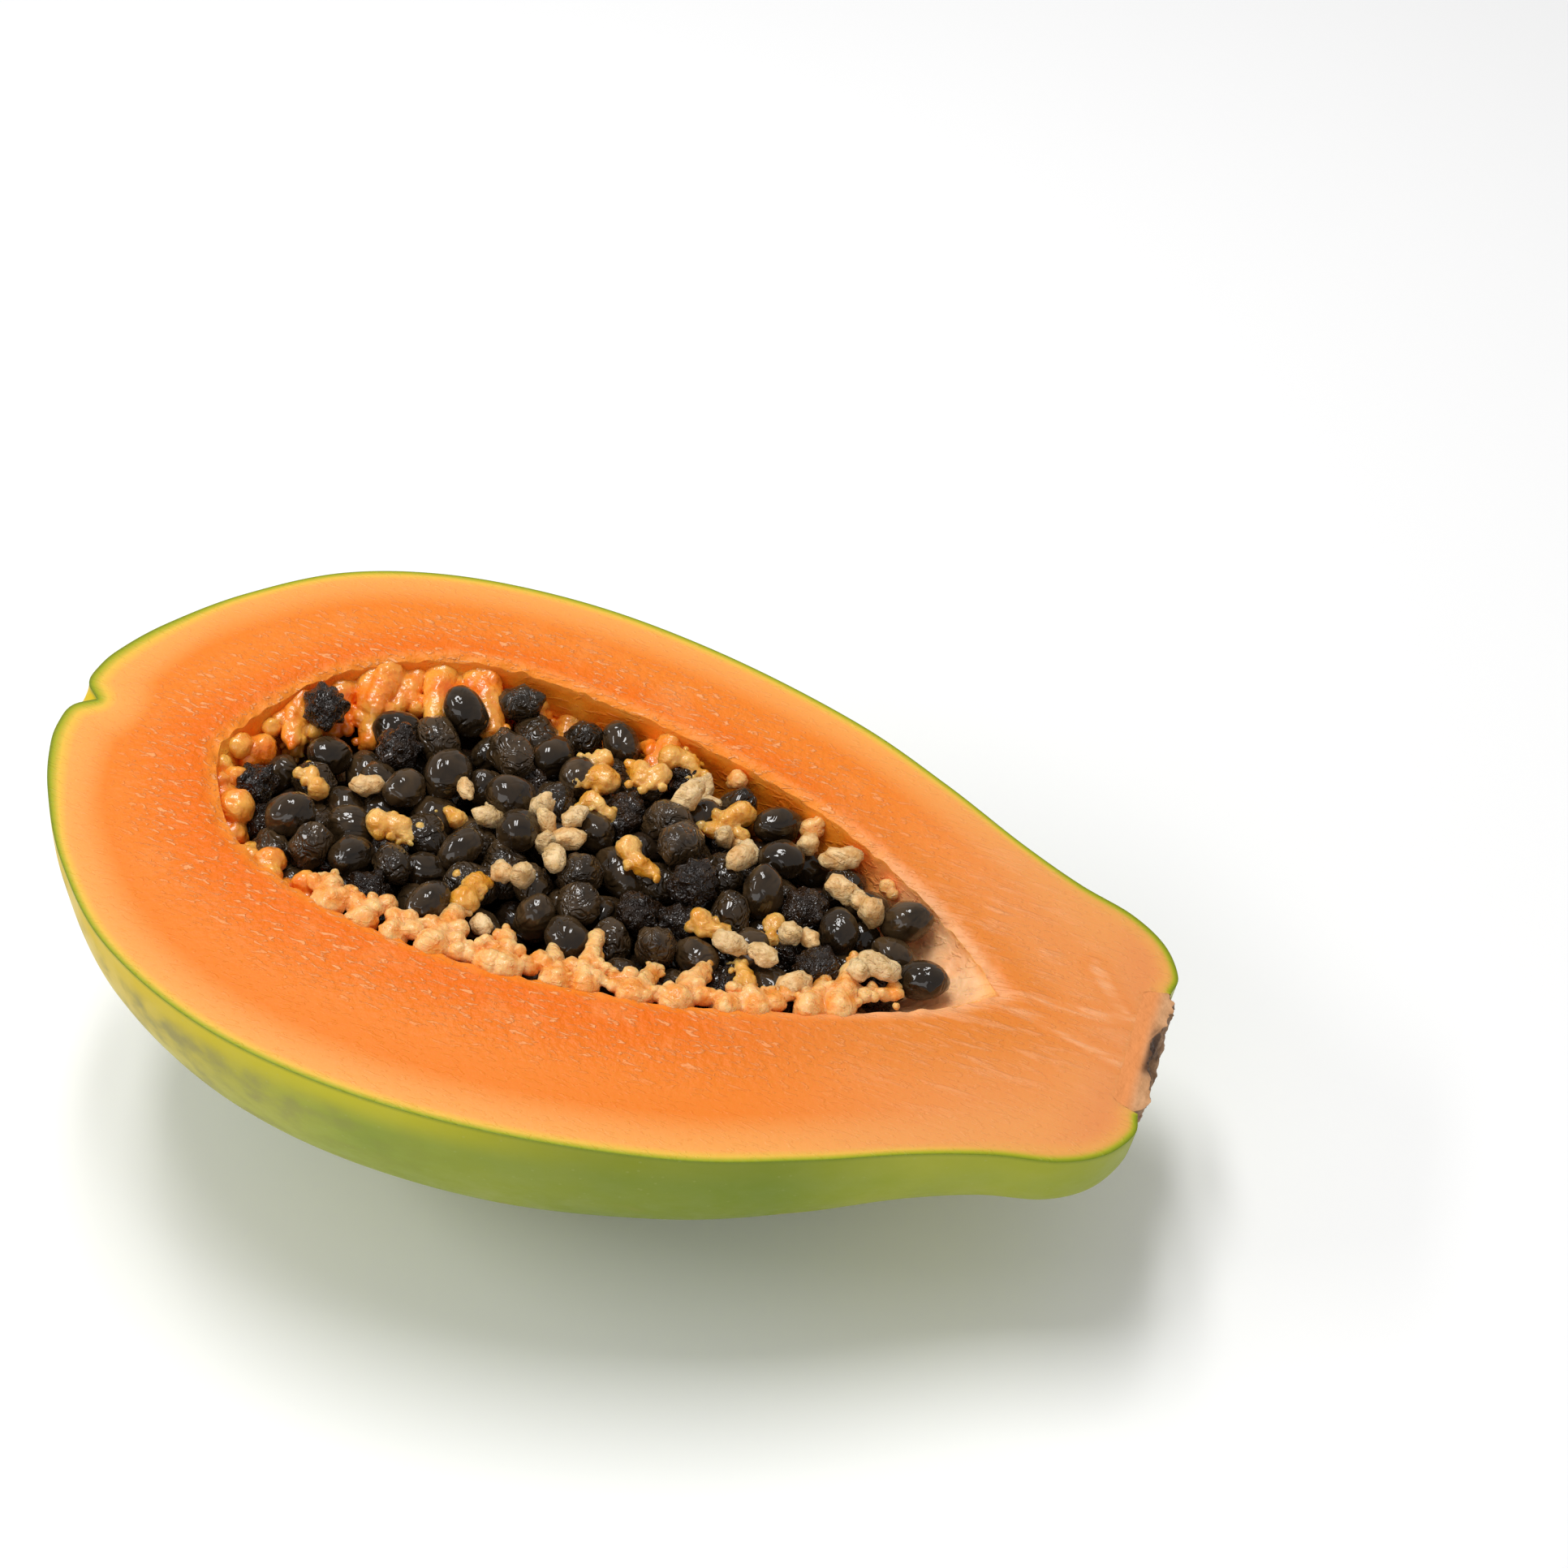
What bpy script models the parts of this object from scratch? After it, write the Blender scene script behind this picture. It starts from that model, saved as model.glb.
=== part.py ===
"""Half a papaya, cut lengthwise through the blossom tip and the stalk, lying on its skin.

Three pieces: the fruit itself (skin and flesh grew as one, with the pulp strands of the seed
cavity still on its wall), the heap of seeds in the cavity, and the woody stub of the stalk.
They are modelled in the fruit's own frame: x runs from the blossom tip to the stalk, y towards
the far side, and z = 0 is the knife cut, with the fruit below it. The last step lays the half
down: the stalk end dips, and the belly stands on a small flat spot at the origin.
"""

import math
import random

import bmesh
import bpy
import numpy as np
from mathutils import Matrix, Vector
from mathutils.geometry import delaunay_2d_cdt

MM = 0.001

# Driving dimensions, in millimetres
FRUIT_LENGTH = 170.0
SEED_RADIUS = 3.05
SEED_SPREAD = 0.35
STALK_RADIUS = 10.4
REST_DIP = 8.2
REST_SAG = 1.2
JOINT_GAP = 0.35

# Outline of the stalk stub: (distance from its foot, share of its radius), foot to middle
STUB_PROFILE = [
    (0.0, 0.0),
    (0.0, 0.938),
    (1.6, 1.01),
    (3.6, 0.981),
    (4.7, 0.885),
    (4.3, 0.62),
    (3.5, 0.28),
    (3.9, 0.0),
]
STUB_RAGGED = 0.35
RAGGED_FROM_ROW = 4

# Outline of the skin on the knife cut: (x, distance from the axis), blossom tip to shoulder
SKIN_PROFILE = [
    (1.2, 0.0),
    (-1.4, 2.6),
    (-1.7, 6.0),
    (-0.6, 11.0),
    (3.4, 19.4),
    (11.5, 30.8),
    (24.0, 42.2),
    (42.0, 49.8),
    (63.0, 52.5),
    (86.0, 50.9),
    (110.0, 45.5),
    (127.0, 38.6),
    (141.0, 31.6),
    (151.5, 27.2),
    (160.5, 24.6),
    (166.5, 20.8),
    (169.7, 15.6),
    (169.4, 11.9),
]
SEAT_FLOOR = FRUIT_LENGTH - 4.6
SEAT_BEVEL, SEAT_FLARE = 0.8, 0.6
SKIN_LOBES = 0.012

# Belly depth as a share of the half width: (x, share)
BELLY = [(0.0, 0.80), (14.0, 0.86), (40.0, 0.955), (80.0, 1.01), (130.0, 1.01), (170.0, 1.12)]

# Rim of the seed cavity on the knife cut: (x, y), from its blossom tip to its stalk tip
NEAR_RIM = [
    (21.5, 0.0),
    (24.2, -6.4),
    (31.5, -15.8),
    (45.0, -21.8),
    (66.0, -24.4),
    (86.0, -22.5),
    (106.0, -18.2),
    (125.0, -10.6),
    (137.0, -4.8),
    (145.5, 1.5),
]
FAR_RIM = [
    (21.5, 0.0),
    (24.6, 9.0),
    (31.5, 21.0),
    (43.0, 29.6),
    (57.0, 33.6),
    (78.0, 32.6),
    (96.0, 29.4),
    (113.0, 24.0),
    (127.0, 16.6),
    (138.0, 8.6),
    (145.5, 1.5),
]
CAVITY_DEPTH = [
    (21.5, 0.0),
    (26.0, 9.0),
    (34.0, 17.0),
    (48.0, 24.5),
    (66.0, 28.0),
    (84.0, 26.5),
    (102.0, 21.0),
    (118.0, 14.0),
    (130.0, 8.0),
    (139.0, 3.6),
    (145.5, 0.0),
]
CAVITY_ROUNDNESS = 0.8

# The heap of seeds: how high it lies, how tightly it packs, and what else lies on it
HEAP_DRAW = 43
HEAP_SPAN = ((24.0, 136.0), (-24.0, 34.0))
HEAP_TOP = -1.7
HEAP_CROWN = {"height": 1.6, "x": 98.0, "y": 4.0, "long": 34.0, "wide": 14.0}
HEAP_HOLLOW = {"depth": 2.4, "x": (54.0, 28.0), "y": (-6.0, 12.0)}
HEAP_AT_FAR_WALL = {"depth": 0.8, "reach": 9.0}
HEAP_CLEARANCE = 0.9
HEAP_TRIES = 900
HEAP_MOST = 420
PLACED_SEEDS = [
    (134.0, 0.4),
    (128.3, -2.2),
    (128.8, 4.6),
    (31.8, -7.4),
    (33.4, 1.2),
    (28.4, -1.8),
    (32.6, 14.0),
]
PULP_BITS = {"count": 14, "radius": 2.1, "span": ((28.0, 112.0), (-18.0, 28.0))}
UNFORMED_SEEDS = {"count": 26, "radius": 1.6, "span": ((30.0, 130.0), (-20.0, 28.0))}
LOOSE_TRIES = 7
# Rings under a ball where it can touch the wall: (share of its radius, places round it)
TOUCH_RINGS = [(0.0, 1), (0.5, 8), (0.8, 12), (0.97, 16)]
CORE_UNDER_TOP = 5.0
CORE_INSET = 1.2
CORE_THINNEST = 0.9
CORE_STARTS, CORE_ENDS = 4.5, 14.0
CORE_SAMPLES = 81
LEAST_SAMPLES = 7
SEED_SWELL = 1.15
SUNK_IN_CORE = 0.5
# What lies in the heap: sides, rings and stretch of each kind of ball
SEED_SHAPE = (6, 3, 1.1)
PULP_BIT_SHAPE = (5, 3, 1.2)
UNFORMED_SHAPE = (5, 3, 1.5)

# The pulp strands on the cavity wall, by the wall that they stand on
STRAND_DRAW = 7
NEAR_STRANDS = {"count": 14, "from": 47.0, "to": 127.0, "length": (3.5, 9.5), "width": (1.7, 2.7)}
FAR_STRANDS = {"count": 10, "from": 26.0, "to": 92.0, "length": (2.5, 5.5), "width": (1.9, 3.1)}
CORNER_LUMPS = {"count": 8, "from": 27.0, "to": 52.0, "length": (5.0, 9.5), "width": (2.7, 3.5)}
STRAND_BALLS = 4
STRAND_TAPER = 0.16
STRAND_DROOP = 0.12
STRAND_ROOT = 1.7
STRAND_GAP = 0.45
ROOT_POINT, TIP_POINT = 0.7, 0.8

SKIN_ROWS = 40
SKIN_SIDES = 20
CAVITY_SIDES = 12
CORE_SECTIONS = 26
CORE_ACROSS = 10
STRAND_SIDES = 6
STUB_SIDES = 10

# Places of the fruit's two materials
FLESH, SKIN = 0, 1


def clear_scene():
    for obj in list(bpy.data.objects):
        bpy.data.objects.remove(obj, do_unlink=True)


def material(name, colour, roughness):
    made = bpy.data.materials.new(name)
    made.use_nodes = True
    shader = made.node_tree.nodes["Principled BSDF"]
    shader.inputs["Base Color"].default_value = (*colour, 1.0)
    shader.inputs["Roughness"].default_value = roughness
    shader.inputs["Metallic"].default_value = 0.0
    made.diffuse_color = (*colour, 1.0)
    return made


def smooth_through(points, steps=24):
    """A Catmull-Rom curve through the points, as an array of steps points a span."""
    known = np.array(points, float)
    known = np.vstack([2 * known[0] - known[1], known, 2 * known[-1] - known[-2]])
    t = np.linspace(0.0, 1.0, steps, endpoint=False)[:, None]
    spans = [
        b + 0.5 * t * (c - a + t * (2 * a - 5 * b + 4 * c - d + t * (3 * b - a - 3 * c + d)))
        for a, b, c, d in zip(known, known[1:], known[2:], known[3:])
    ]
    return np.vstack([*spans, known[-2]])


def spaced(curve, count, crowding=0.75):
    """count + 1 points along a curve, by its length, closer together at both ends."""
    steps = np.linalg.norm(np.diff(curve, axis=0), axis=1)
    along = np.concatenate([[0.0], np.cumsum(steps)])
    u = np.linspace(0.0, 1.0, count + 1)
    u = (u - crowding * np.sin(2 * math.pi * u) / (2 * math.pi)) * along[-1]
    return np.column_stack([np.interp(u, along, curve[:, k]) for k in range(2)])


BELLY_CURVE = smooth_through(BELLY)


def belly(x):
    """Depth of the fruit below the cut, as a share of its half width there."""
    return np.interp(x, BELLY_CURVE[:, 0], BELLY_CURVE[:, 1])


def skin_point(x, radius, angle):
    """A point of the skin: angle 0 is the near edge of the cut, and pi the far edge."""
    lobe = 1.0 + SKIN_LOBES * math.sin(5 * angle)
    return (
        x,
        -radius * math.cos(angle) * lobe,
        -radius * math.sin(angle) * lobe * belly(x),
    )


NEAR_CURVE = smooth_through(NEAR_RIM)
FAR_CURVE = smooth_through(FAR_RIM)
DEPTH_CURVE = smooth_through(CAVITY_DEPTH)


def rim_near(x):
    return np.interp(x, NEAR_CURVE[:, 0], NEAR_CURVE[:, 1])


def rim_far(x):
    return np.interp(x, FAR_CURVE[:, 0], FAR_CURVE[:, 1])


def cavity_floor(x, y):
    """Height of the cavity's wall at (x, y), 0 on its rim and outside it."""
    low, high = rim_near(x), rim_far(x)
    half = np.maximum((high - low) / 2, 1e-6)
    across = np.clip(1.0 - np.abs((y - (low + high) / 2) / half) ** 2, 0.0, 1.0)
    depth = np.interp(x, DEPTH_CURVE[:, 0], DEPTH_CURVE[:, 1], left=0.0, right=0.0)
    return -depth * across ** (CAVITY_ROUNDNESS / 2)


def pulp_strands():
    """The strands of pulp on the cavity wall, each a list of (x, y, z, radius) from root to tip."""
    draw = random.Random(STRAND_DRAW)
    strands = []
    for kind in (NEAR_STRANDS, FAR_STRANDS, CORNER_LUMPS):
        for k in range(kind["count"]):
            share = (k + draw.uniform(0.15, 0.85)) / kind["count"]
            x = kind["from"] + (kind["to"] - kind["from"]) * share
            length = draw.uniform(*kind["length"])
            width = draw.uniform(*kind["width"])
            lean = draw.uniform(-0.45, 0.45)
            if kind is NEAR_STRANDS:
                length *= min(1.0, 0.35 + (136.0 - x) / 26.0)
                root = (x, rim_near(x) - STRAND_ROOT, -1.9)
                direction = (lean, 1.0, draw.uniform(-0.12, 0.22))
            elif kind is FAR_STRANDS:
                down = draw.uniform(3.0, 9.0) * min(1.0, x / 45.0)
                root = (x, rim_far(x) - 0.25 * down + STRAND_ROOT, -down)
                direction = (lean, -1.0, draw.uniform(-0.5, 0.1))
            else:
                down = draw.uniform(4.0, 7.0)
                root = (x, rim_far(x) - 0.25 * down + STRAND_ROOT, -down)
                direction = (lean + 0.4, -1.0, draw.uniform(-0.15, 0.15))
            strands.append(strand(root, direction, length + STRAND_ROOT, width))
    return strands


def strand(root, direction, length, width):
    """Balls from root to tip along one strand, which narrows and droops a little."""
    step = Vector(direction).normalized() * (length / (STRAND_BALLS - 1))
    return [
        (
            root[0] + step.x * k,
            root[1] + step.y * k,
            root[2] + step.z * k - STRAND_DROOP * k * k,
            width * (1.0 - STRAND_TAPER * k),
        )
        for k in range(STRAND_BALLS)
    ]


def heap_top(x, y):
    """How high a seed's centre may lie: near level, but hollow in the blossom end's far corner."""
    crown, hollow, wall = HEAP_CROWN, HEAP_HOLLOW, HEAP_AT_FAR_WALL
    off_x, off_y = (x - crown["x"]) / crown["long"], (y - crown["y"]) / crown["wide"]
    corner = np.interp(-x, [-v for v in hollow["x"]], [0.0, 1.0])
    corner = corner * np.interp(y, hollow["y"], [0.0, 1.0])
    at_wall = np.clip(1.0 - (rim_far(x) - y) / wall["reach"], 0.0, 1.0)
    return (
        HEAP_TOP
        + crown["height"] * np.exp(-(off_x**2) - off_y**2)
        - hollow["depth"] * corner
        - wall["depth"] * at_wall
    )


def resting_height(x, y, radius, balls):
    """Where a ball dropped at each (x, y) comes to rest on the cavity wall or on other balls."""
    reach = radius + HEAP_CLEARANCE
    height = np.full(x.shape, -1e3)
    for ring, turns in TOUCH_RINGS:
        for k in range(turns):
            angle = 2 * math.pi * k / turns
            under = cavity_floor(
                x + ring * reach * math.cos(angle), y + ring * reach * math.sin(angle)
            )
            height = np.maximum(height, under + reach * math.sqrt(1.0 - ring * ring))
    apart = (x[:, None] - balls[:, 0]) ** 2 + (y[:, None] - balls[:, 1]) ** 2
    touch = (radius + balls[:, 3]) ** 2
    on_ball = np.where(apart < touch, balls[:, 2] + np.sqrt(np.maximum(touch - apart, 0)), -1e3)
    return np.maximum(height, on_ball.max(axis=1))


def drop(draw, radius, balls, tries, span):
    """The lowest of a few places where a ball can come to rest, against the heap's top there."""
    x = np.array([draw.uniform(*span[0]) for _ in range(tries)])
    y = np.array([draw.uniform(*span[1]) for _ in range(tries)])
    height = resting_height(x, y, radius, balls)
    over = height - heap_top(x, y)
    over = np.where((y < rim_near(x) + radius) | (y > rim_far(x) - radius), 1e3, over)
    best = int(np.argmin(over))
    return x[best], y[best], height[best], over[best]


def seed_heap():
    """Seeds, pulp bits and pale unformed seeds, each as rows of (x, y, z, radius)."""
    draw = random.Random(HEAP_DRAW)
    balls = [ball for one in pulp_strands() for ball in one]
    seeds, bits, unformed = [], [], []
    for x, y in PLACED_SEEDS:
        height = resting_height(np.array([x]), np.array([y]), SEED_RADIUS, np.array(balls))
        seeds.append((x, y, height[0], SEED_RADIUS))
        balls.append(seeds[-1])
    for _ in range(HEAP_MOST):
        radius = SEED_RADIUS + draw.uniform(-SEED_SPREAD, SEED_SPREAD)
        x, y, z, over = drop(draw, radius, np.array(balls), HEAP_TRIES, HEAP_SPAN)
        if over > 0:
            break
        seeds.append((x, y, z, radius))
        balls.append(seeds[-1])
    for kind, found in ((PULP_BITS, bits), (UNFORMED_SEEDS, unformed)):
        for _ in range(kind["count"]):
            radius = kind["radius"] * draw.uniform(0.8, 1.2)
            x, y, z, _over = drop(draw, radius, np.array(balls), LOOSE_TRIES, kind["span"])
            found.append((x, y, z, radius))
            balls.append(found[-1])
    return seeds, bits, unformed


def laid_down():
    """The matrix from the fruit's frame, in millimetres, to the surface it lies on, in metres."""
    turn = Matrix.Rotation(math.radians(REST_DIP), 4, "Y")
    keel = [
        turn @ Vector(skin_point(x, radius, math.pi / 2))
        for x, radius in smooth_through(SKIN_PROFILE)
    ]
    lowest = min(keel, key=lambda point: point.z)
    shift = Matrix.Translation((-lowest.x, 0.0, -lowest.z - REST_SAG))
    return Matrix.Scale(MM, 4) @ shift @ turn


POSE = laid_down()


def press_flat(bm):
    """Cuts the belly off at the surface that it lies on, and closes it with one flat face."""
    cut = bmesh.ops.bisect_plane(
        bm,
        geom=[*bm.verts, *bm.edges, *bm.faces],
        plane_co=(0.0, 0.0, 0.0),
        plane_no=(0.0, 0.0, -1.0),
        clear_outer=True,
    )
    loop = [e for e in cut["geom_cut"] if isinstance(e, bmesh.types.BMEdge)]
    bmesh.ops.edgeloop_fill(bm, edges=loop, mat_nr=SKIN)


def make_object(name, points, faces, materials, kinds=(), rest_flat=False):
    """A closed mesh object laid down on the surface, its normals outwards."""
    mesh = bpy.data.meshes.new(name)
    mesh.from_pydata([POSE @ Vector(p) for p in points], [], faces)
    for one in materials:
        mesh.materials.append(one)
    for face, kind in zip(mesh.polygons, kinds):
        face.material_index = kind
    bm = bmesh.new()
    bm.from_mesh(mesh)
    if rest_flat:
        press_flat(bm)
    bmesh.ops.recalc_face_normals(bm, faces=bm.faces)
    bm.to_mesh(mesh)
    bm.free()
    obj = bpy.data.objects.new(name, mesh)
    bpy.context.scene.collection.objects.link(obj)
    return obj


def shade(obj, angle=40.0):
    obj.data.shade_smooth()
    obj.data.set_sharp_from_angle(angle=math.radians(angle))


def unite(base, others, operation="UNION"):
    """Joins the objects into base, or cuts them from it, and removes them."""
    group = bpy.data.collections.new(base.name + "_group")
    bpy.context.scene.collection.children.link(group)
    for obj in others:
        bpy.context.scene.collection.objects.unlink(obj)
        group.objects.link(obj)
    modifier = base.modifiers.new("join", "BOOLEAN")
    modifier.operation = operation
    modifier.operand_type = "COLLECTION"
    modifier.collection = group
    modifier.solver = "MANIFOLD"
    bpy.context.view_layer.update()
    graph = bpy.context.evaluated_depsgraph_get()
    joined = bpy.data.meshes.new_from_object(base.evaluated_get(graph))
    base.modifiers.clear()
    base.data = joined
    for obj in list(group.objects):
        bpy.data.objects.remove(obj, do_unlink=True)
    bpy.data.collections.remove(group)


def drop_scraps(obj):
    """Keeps the largest connected body of the object and drops what hangs loose."""
    bm = bmesh.new()
    bm.from_mesh(obj.data)
    left = set(bm.verts)
    bodies = []
    while left:
        body, edge = set(), [left.pop()]
        while edge:
            vert = edge.pop()
            body.add(vert)
            near = {e.other_vert(vert) for e in vert.link_edges} & left
            left -= near
            edge += near
        bodies.append(body)
    bodies.sort(key=len)
    bmesh.ops.delete(bm, geom=[v for body in bodies[:-1] for v in body], context="VERTS")
    bm.to_mesh(obj.data)
    bm.free()


def fruit_profile():
    """The skin's outline with the round seat of the stalk at its end."""
    skin = spaced(smooth_through(SKIN_PROFILE), SKIN_ROWS)
    seat = [
        (SEAT_FLOOR + SEAT_BEVEL, STALK_RADIUS + SEAT_FLARE),
        (SEAT_FLOOR, STALK_RADIUS),
        (SEAT_FLOOR, 0.0),
    ]
    return np.vstack([skin, seat])


def knife_cut(points, outline, rim):
    """Triangles that fill the cut between the skin's outline and the rim of the cavity."""
    corners = [*outline, *rim]
    places = [Vector(points[i][:2]) for i in corners]
    split = len(outline)
    edges = [(k, (k + 1) % split) for k in range(split)]
    edges += [(split + k, split + (k + 1) % len(rim)) for k in range(len(rim))]
    within_edges, merge_distance = 1, 1e-5
    made, _, triangles, sources, _, _ = delaunay_2d_cdt(
        places, edges, [], within_edges, merge_distance
    )
    faces = []
    for triangle in triangles:
        x, y = sum((made[v] for v in triangle), Vector((0.0, 0.0))) / 3
        if not rim_near(x) < y < rim_far(x):
            faces.append([corners[sources[v][0]] for v in triangle])
    return faces


def fruit_half(flesh_material, skin_material):
    """Skin and cavity wall as two grids that meet the triangles of the cut, closed all round."""
    profile = fruit_profile()
    rows = len(profile) - 1
    u = np.linspace(0.0, 1.0, rows + 1)
    stations = 0.5 - 0.5 * np.cos(math.pi * u)
    start, end = NEAR_RIM[0][0], NEAR_RIM[-1][0]
    rim_x = start + (end - start) * stations
    points, faces, kinds = [], [], []

    def add(point):
        points.append(point)
        return len(points) - 1

    def strip(first, second, kind):
        for a, b, c, d in zip(first, first[1:], second[1:], second):
            corners = list(dict.fromkeys((a, b, c, d)))
            if len(corners) > 2:
                faces.append(corners)
                kinds.append(kind)

    skin_rows = []
    for row, (x, radius) in enumerate(profile):
        if row in (0, rows):
            skin_rows.append([add((x, 0.0, 0.0))] * (SKIN_SIDES + 1))
        else:
            angles = np.linspace(0.0, math.pi, SKIN_SIDES + 1)
            skin_rows.append([add(skin_point(x, radius, a)) for a in angles])
    cavity_rows = []
    for row, x in enumerate(rim_x):
        low, high = rim_near(x), rim_far(x)
        if row in (0, rows):
            cavity_rows.append([add((x, low, 0.0))] * (CAVITY_SIDES + 1))
            continue
        cells = []
        for a in np.linspace(0.0, math.pi, CAVITY_SIDES + 1):
            y = (low + high) / 2 - (high - low) / 2 * math.cos(a)
            edge = a in (0.0, math.pi)
            cells.append(add((x, y, 0.0 if edge else float(cavity_floor(x, y)))))
        cavity_rows.append(cells)
    for one, two in zip(skin_rows, skin_rows[1:]):
        strip(one, two, SKIN)
    for one, two in zip(cavity_rows, cavity_rows[1:]):
        strip(one, two, FLESH)
    outline = [r[0] for r in skin_rows] + [r[-1] for r in skin_rows[-2:0:-1]]
    rim = [r[0] for r in cavity_rows] + [r[-1] for r in cavity_rows[-2:0:-1]]
    cut = knife_cut(points, outline, rim)
    faces += cut
    kinds += [FLESH] * len(cut)
    return make_object(
        "fruit_half", points, faces, [flesh_material, skin_material], kinds, rest_flat=True
    )


def tube_through(name, balls, materials, swell=0.0):
    """A closed tube through a chain of balls, with a point at each end."""
    sides = STRAND_SIDES
    points = [Vector(b[:3]) for b in balls]
    radii = [b[3] + swell for b in balls]
    forward = (points[-1] - points[0]).normalized()
    side = forward.cross(Vector((0, 0, 1))).normalized()
    up = side.cross(forward)
    mesh_points = [points[0] - forward * radii[0] * ROOT_POINT]
    faces = []
    for centre, radius in zip(points, radii):
        for k in range(sides):
            angle = 2 * math.pi * k / sides
            mesh_points.append(centre + (side * math.cos(angle) + up * math.sin(angle)) * radius)
    mesh_points.append(points[-1] + forward * radii[-1] * TIP_POINT)
    last = len(mesh_points) - 1
    for k in range(sides):
        nxt = (k + 1) % sides
        faces.append((0, 1 + k, 1 + nxt))
        for ring in range(len(points) - 1):
            a, b = 1 + ring * sides, 1 + (ring + 1) * sides
            faces.append((a + k, b + k, b + nxt, a + nxt))
        tail = 1 + (len(points) - 1) * sides
        faces.append((tail + k, last, tail + nxt))
    return make_object(name, mesh_points, faces, materials)


def ball(name, row, shape, turn, materials):
    """A seed or a bit: a round body with few sides, stretched along one axis and turned."""
    x, y, z, radius = row
    sides, rings, stretch = shape
    mesh_points = []
    faces = []
    for ring in range(1, rings):
        polar = math.pi * ring / rings
        for k in range(sides):
            angle = 2 * math.pi * (k + 0.5 * (ring % 2)) / sides
            mesh_points.append(
                Vector(
                    (
                        math.sin(polar) * math.cos(angle),
                        math.sin(polar) * math.sin(angle),
                        math.cos(polar) * stretch,
                    )
                )
            )
    top, bottom = len(mesh_points), len(mesh_points) + 1
    mesh_points += [Vector((0, 0, stretch)), Vector((0, 0, -stretch))]
    for k in range(sides):
        nxt = (k + 1) % sides
        faces.append((top, k, nxt))
        faces.append((bottom, (rings - 2) * sides + nxt, (rings - 2) * sides + k))
        for ring in range(rings - 2):
            a, b = ring * sides, (ring + 1) * sides
            if ring % 2 == 0:
                faces += [(a + k, b + k, a + nxt), (a + nxt, b + k, b + nxt)]
            else:
                faces += [(a + k, b + k, b + nxt), (a + k, b + nxt, a + nxt)]
    placed = [Vector((x, y, z)) + turn @ (p * radius) for p in mesh_points]
    return make_object(name, placed, faces, materials)


def heap_core(materials):
    """The hidden inside of the heap: it lines the cavity floor and ends under the top seeds."""
    start, end = NEAR_RIM[0][0] + CORE_STARTS, NEAR_RIM[-1][0] - CORE_ENDS
    points, tops, bottoms = [], [], []
    for k in range(CORE_SECTIONS + 1):
        x = start + (end - start) * (0.5 - 0.5 * math.cos(math.pi * k / CORE_SECTIONS))
        y = np.linspace(rim_near(x) + CORE_INSET, rim_far(x) - CORE_INSET, CORE_SAMPLES)
        room = heap_top(x, y) - CORE_UNDER_TOP - (cavity_floor(x, y) + HEAP_CLEARANCE)
        inside = y[room > CORE_THINNEST]
        if len(inside) < LEAST_SAMPLES:
            continue
        low, high = inside[0], inside[-1]
        turn = np.linspace(0, math.pi, CORE_ACROSS + 1)
        y = (low + high) / 2 - (high - low) / 2 * np.cos(turn)
        bottom = cavity_floor(x, y) + HEAP_CLEARANCE
        top = np.maximum(heap_top(x, y) - CORE_UNDER_TOP, bottom + CORE_THINNEST / 2)
        for sheet, height in ((tops, top), (bottoms, bottom)):
            sheet.append(list(range(len(points), len(points) + len(y))))
            points += zip([x] * len(y), y, height)
    faces = []
    for sheet in (tops, bottoms):
        for one, two in zip(sheet, sheet[1:]):
            faces += zip(one, one[1:], two[1:], two)
    for edge in (0, -1):
        for t1, t2, b1, b2 in zip(tops, tops[1:], bottoms, bottoms[1:]):
            faces.append((t1[edge], t2[edge], b2[edge], b1[edge]))
        faces += zip(tops[edge], tops[edge][1:], bottoms[edge][1:], bottoms[edge])
    return make_object("seed_heap", points, faces, materials)


def random_turn(draw):
    """An even random rotation from three draws."""
    axis = Vector((draw.gauss(0, 1), draw.gauss(0, 1), draw.gauss(0, 1))).normalized()
    return Matrix.Rotation(draw.uniform(0, 2 * math.pi), 3, axis)


def seed_heap_object(seed_material):
    """The heap as one body: the core, with every seed, bit and unformed seed that shows."""
    seeds, bits, unformed = seed_heap()
    draw = random.Random(HEAP_DRAW + 1)
    heap = heap_core([seed_material])
    parts = []
    shapes = (SEED_SHAPE, PULP_BIT_SHAPE, UNFORMED_SHAPE)
    for rows, shape in zip((seeds, bits, unformed), shapes):
        for x, y, z, radius in rows:
            turn = random_turn(draw)
            if z + radius > heap_top(x, y) - CORE_UNDER_TOP - SUNK_IN_CORE:
                row = (x, y, z, radius * SEED_SWELL)
                parts.append(ball("ball", row, shape, turn, [seed_material]))
    unite(heap, parts)
    clearers = [
        tube_through("clearer", balls, [seed_material], STRAND_GAP)
        for balls in pulp_strands()
    ]
    unite(heap, clearers, "DIFFERENCE")
    drop_scraps(heap)
    shade(heap)


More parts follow.
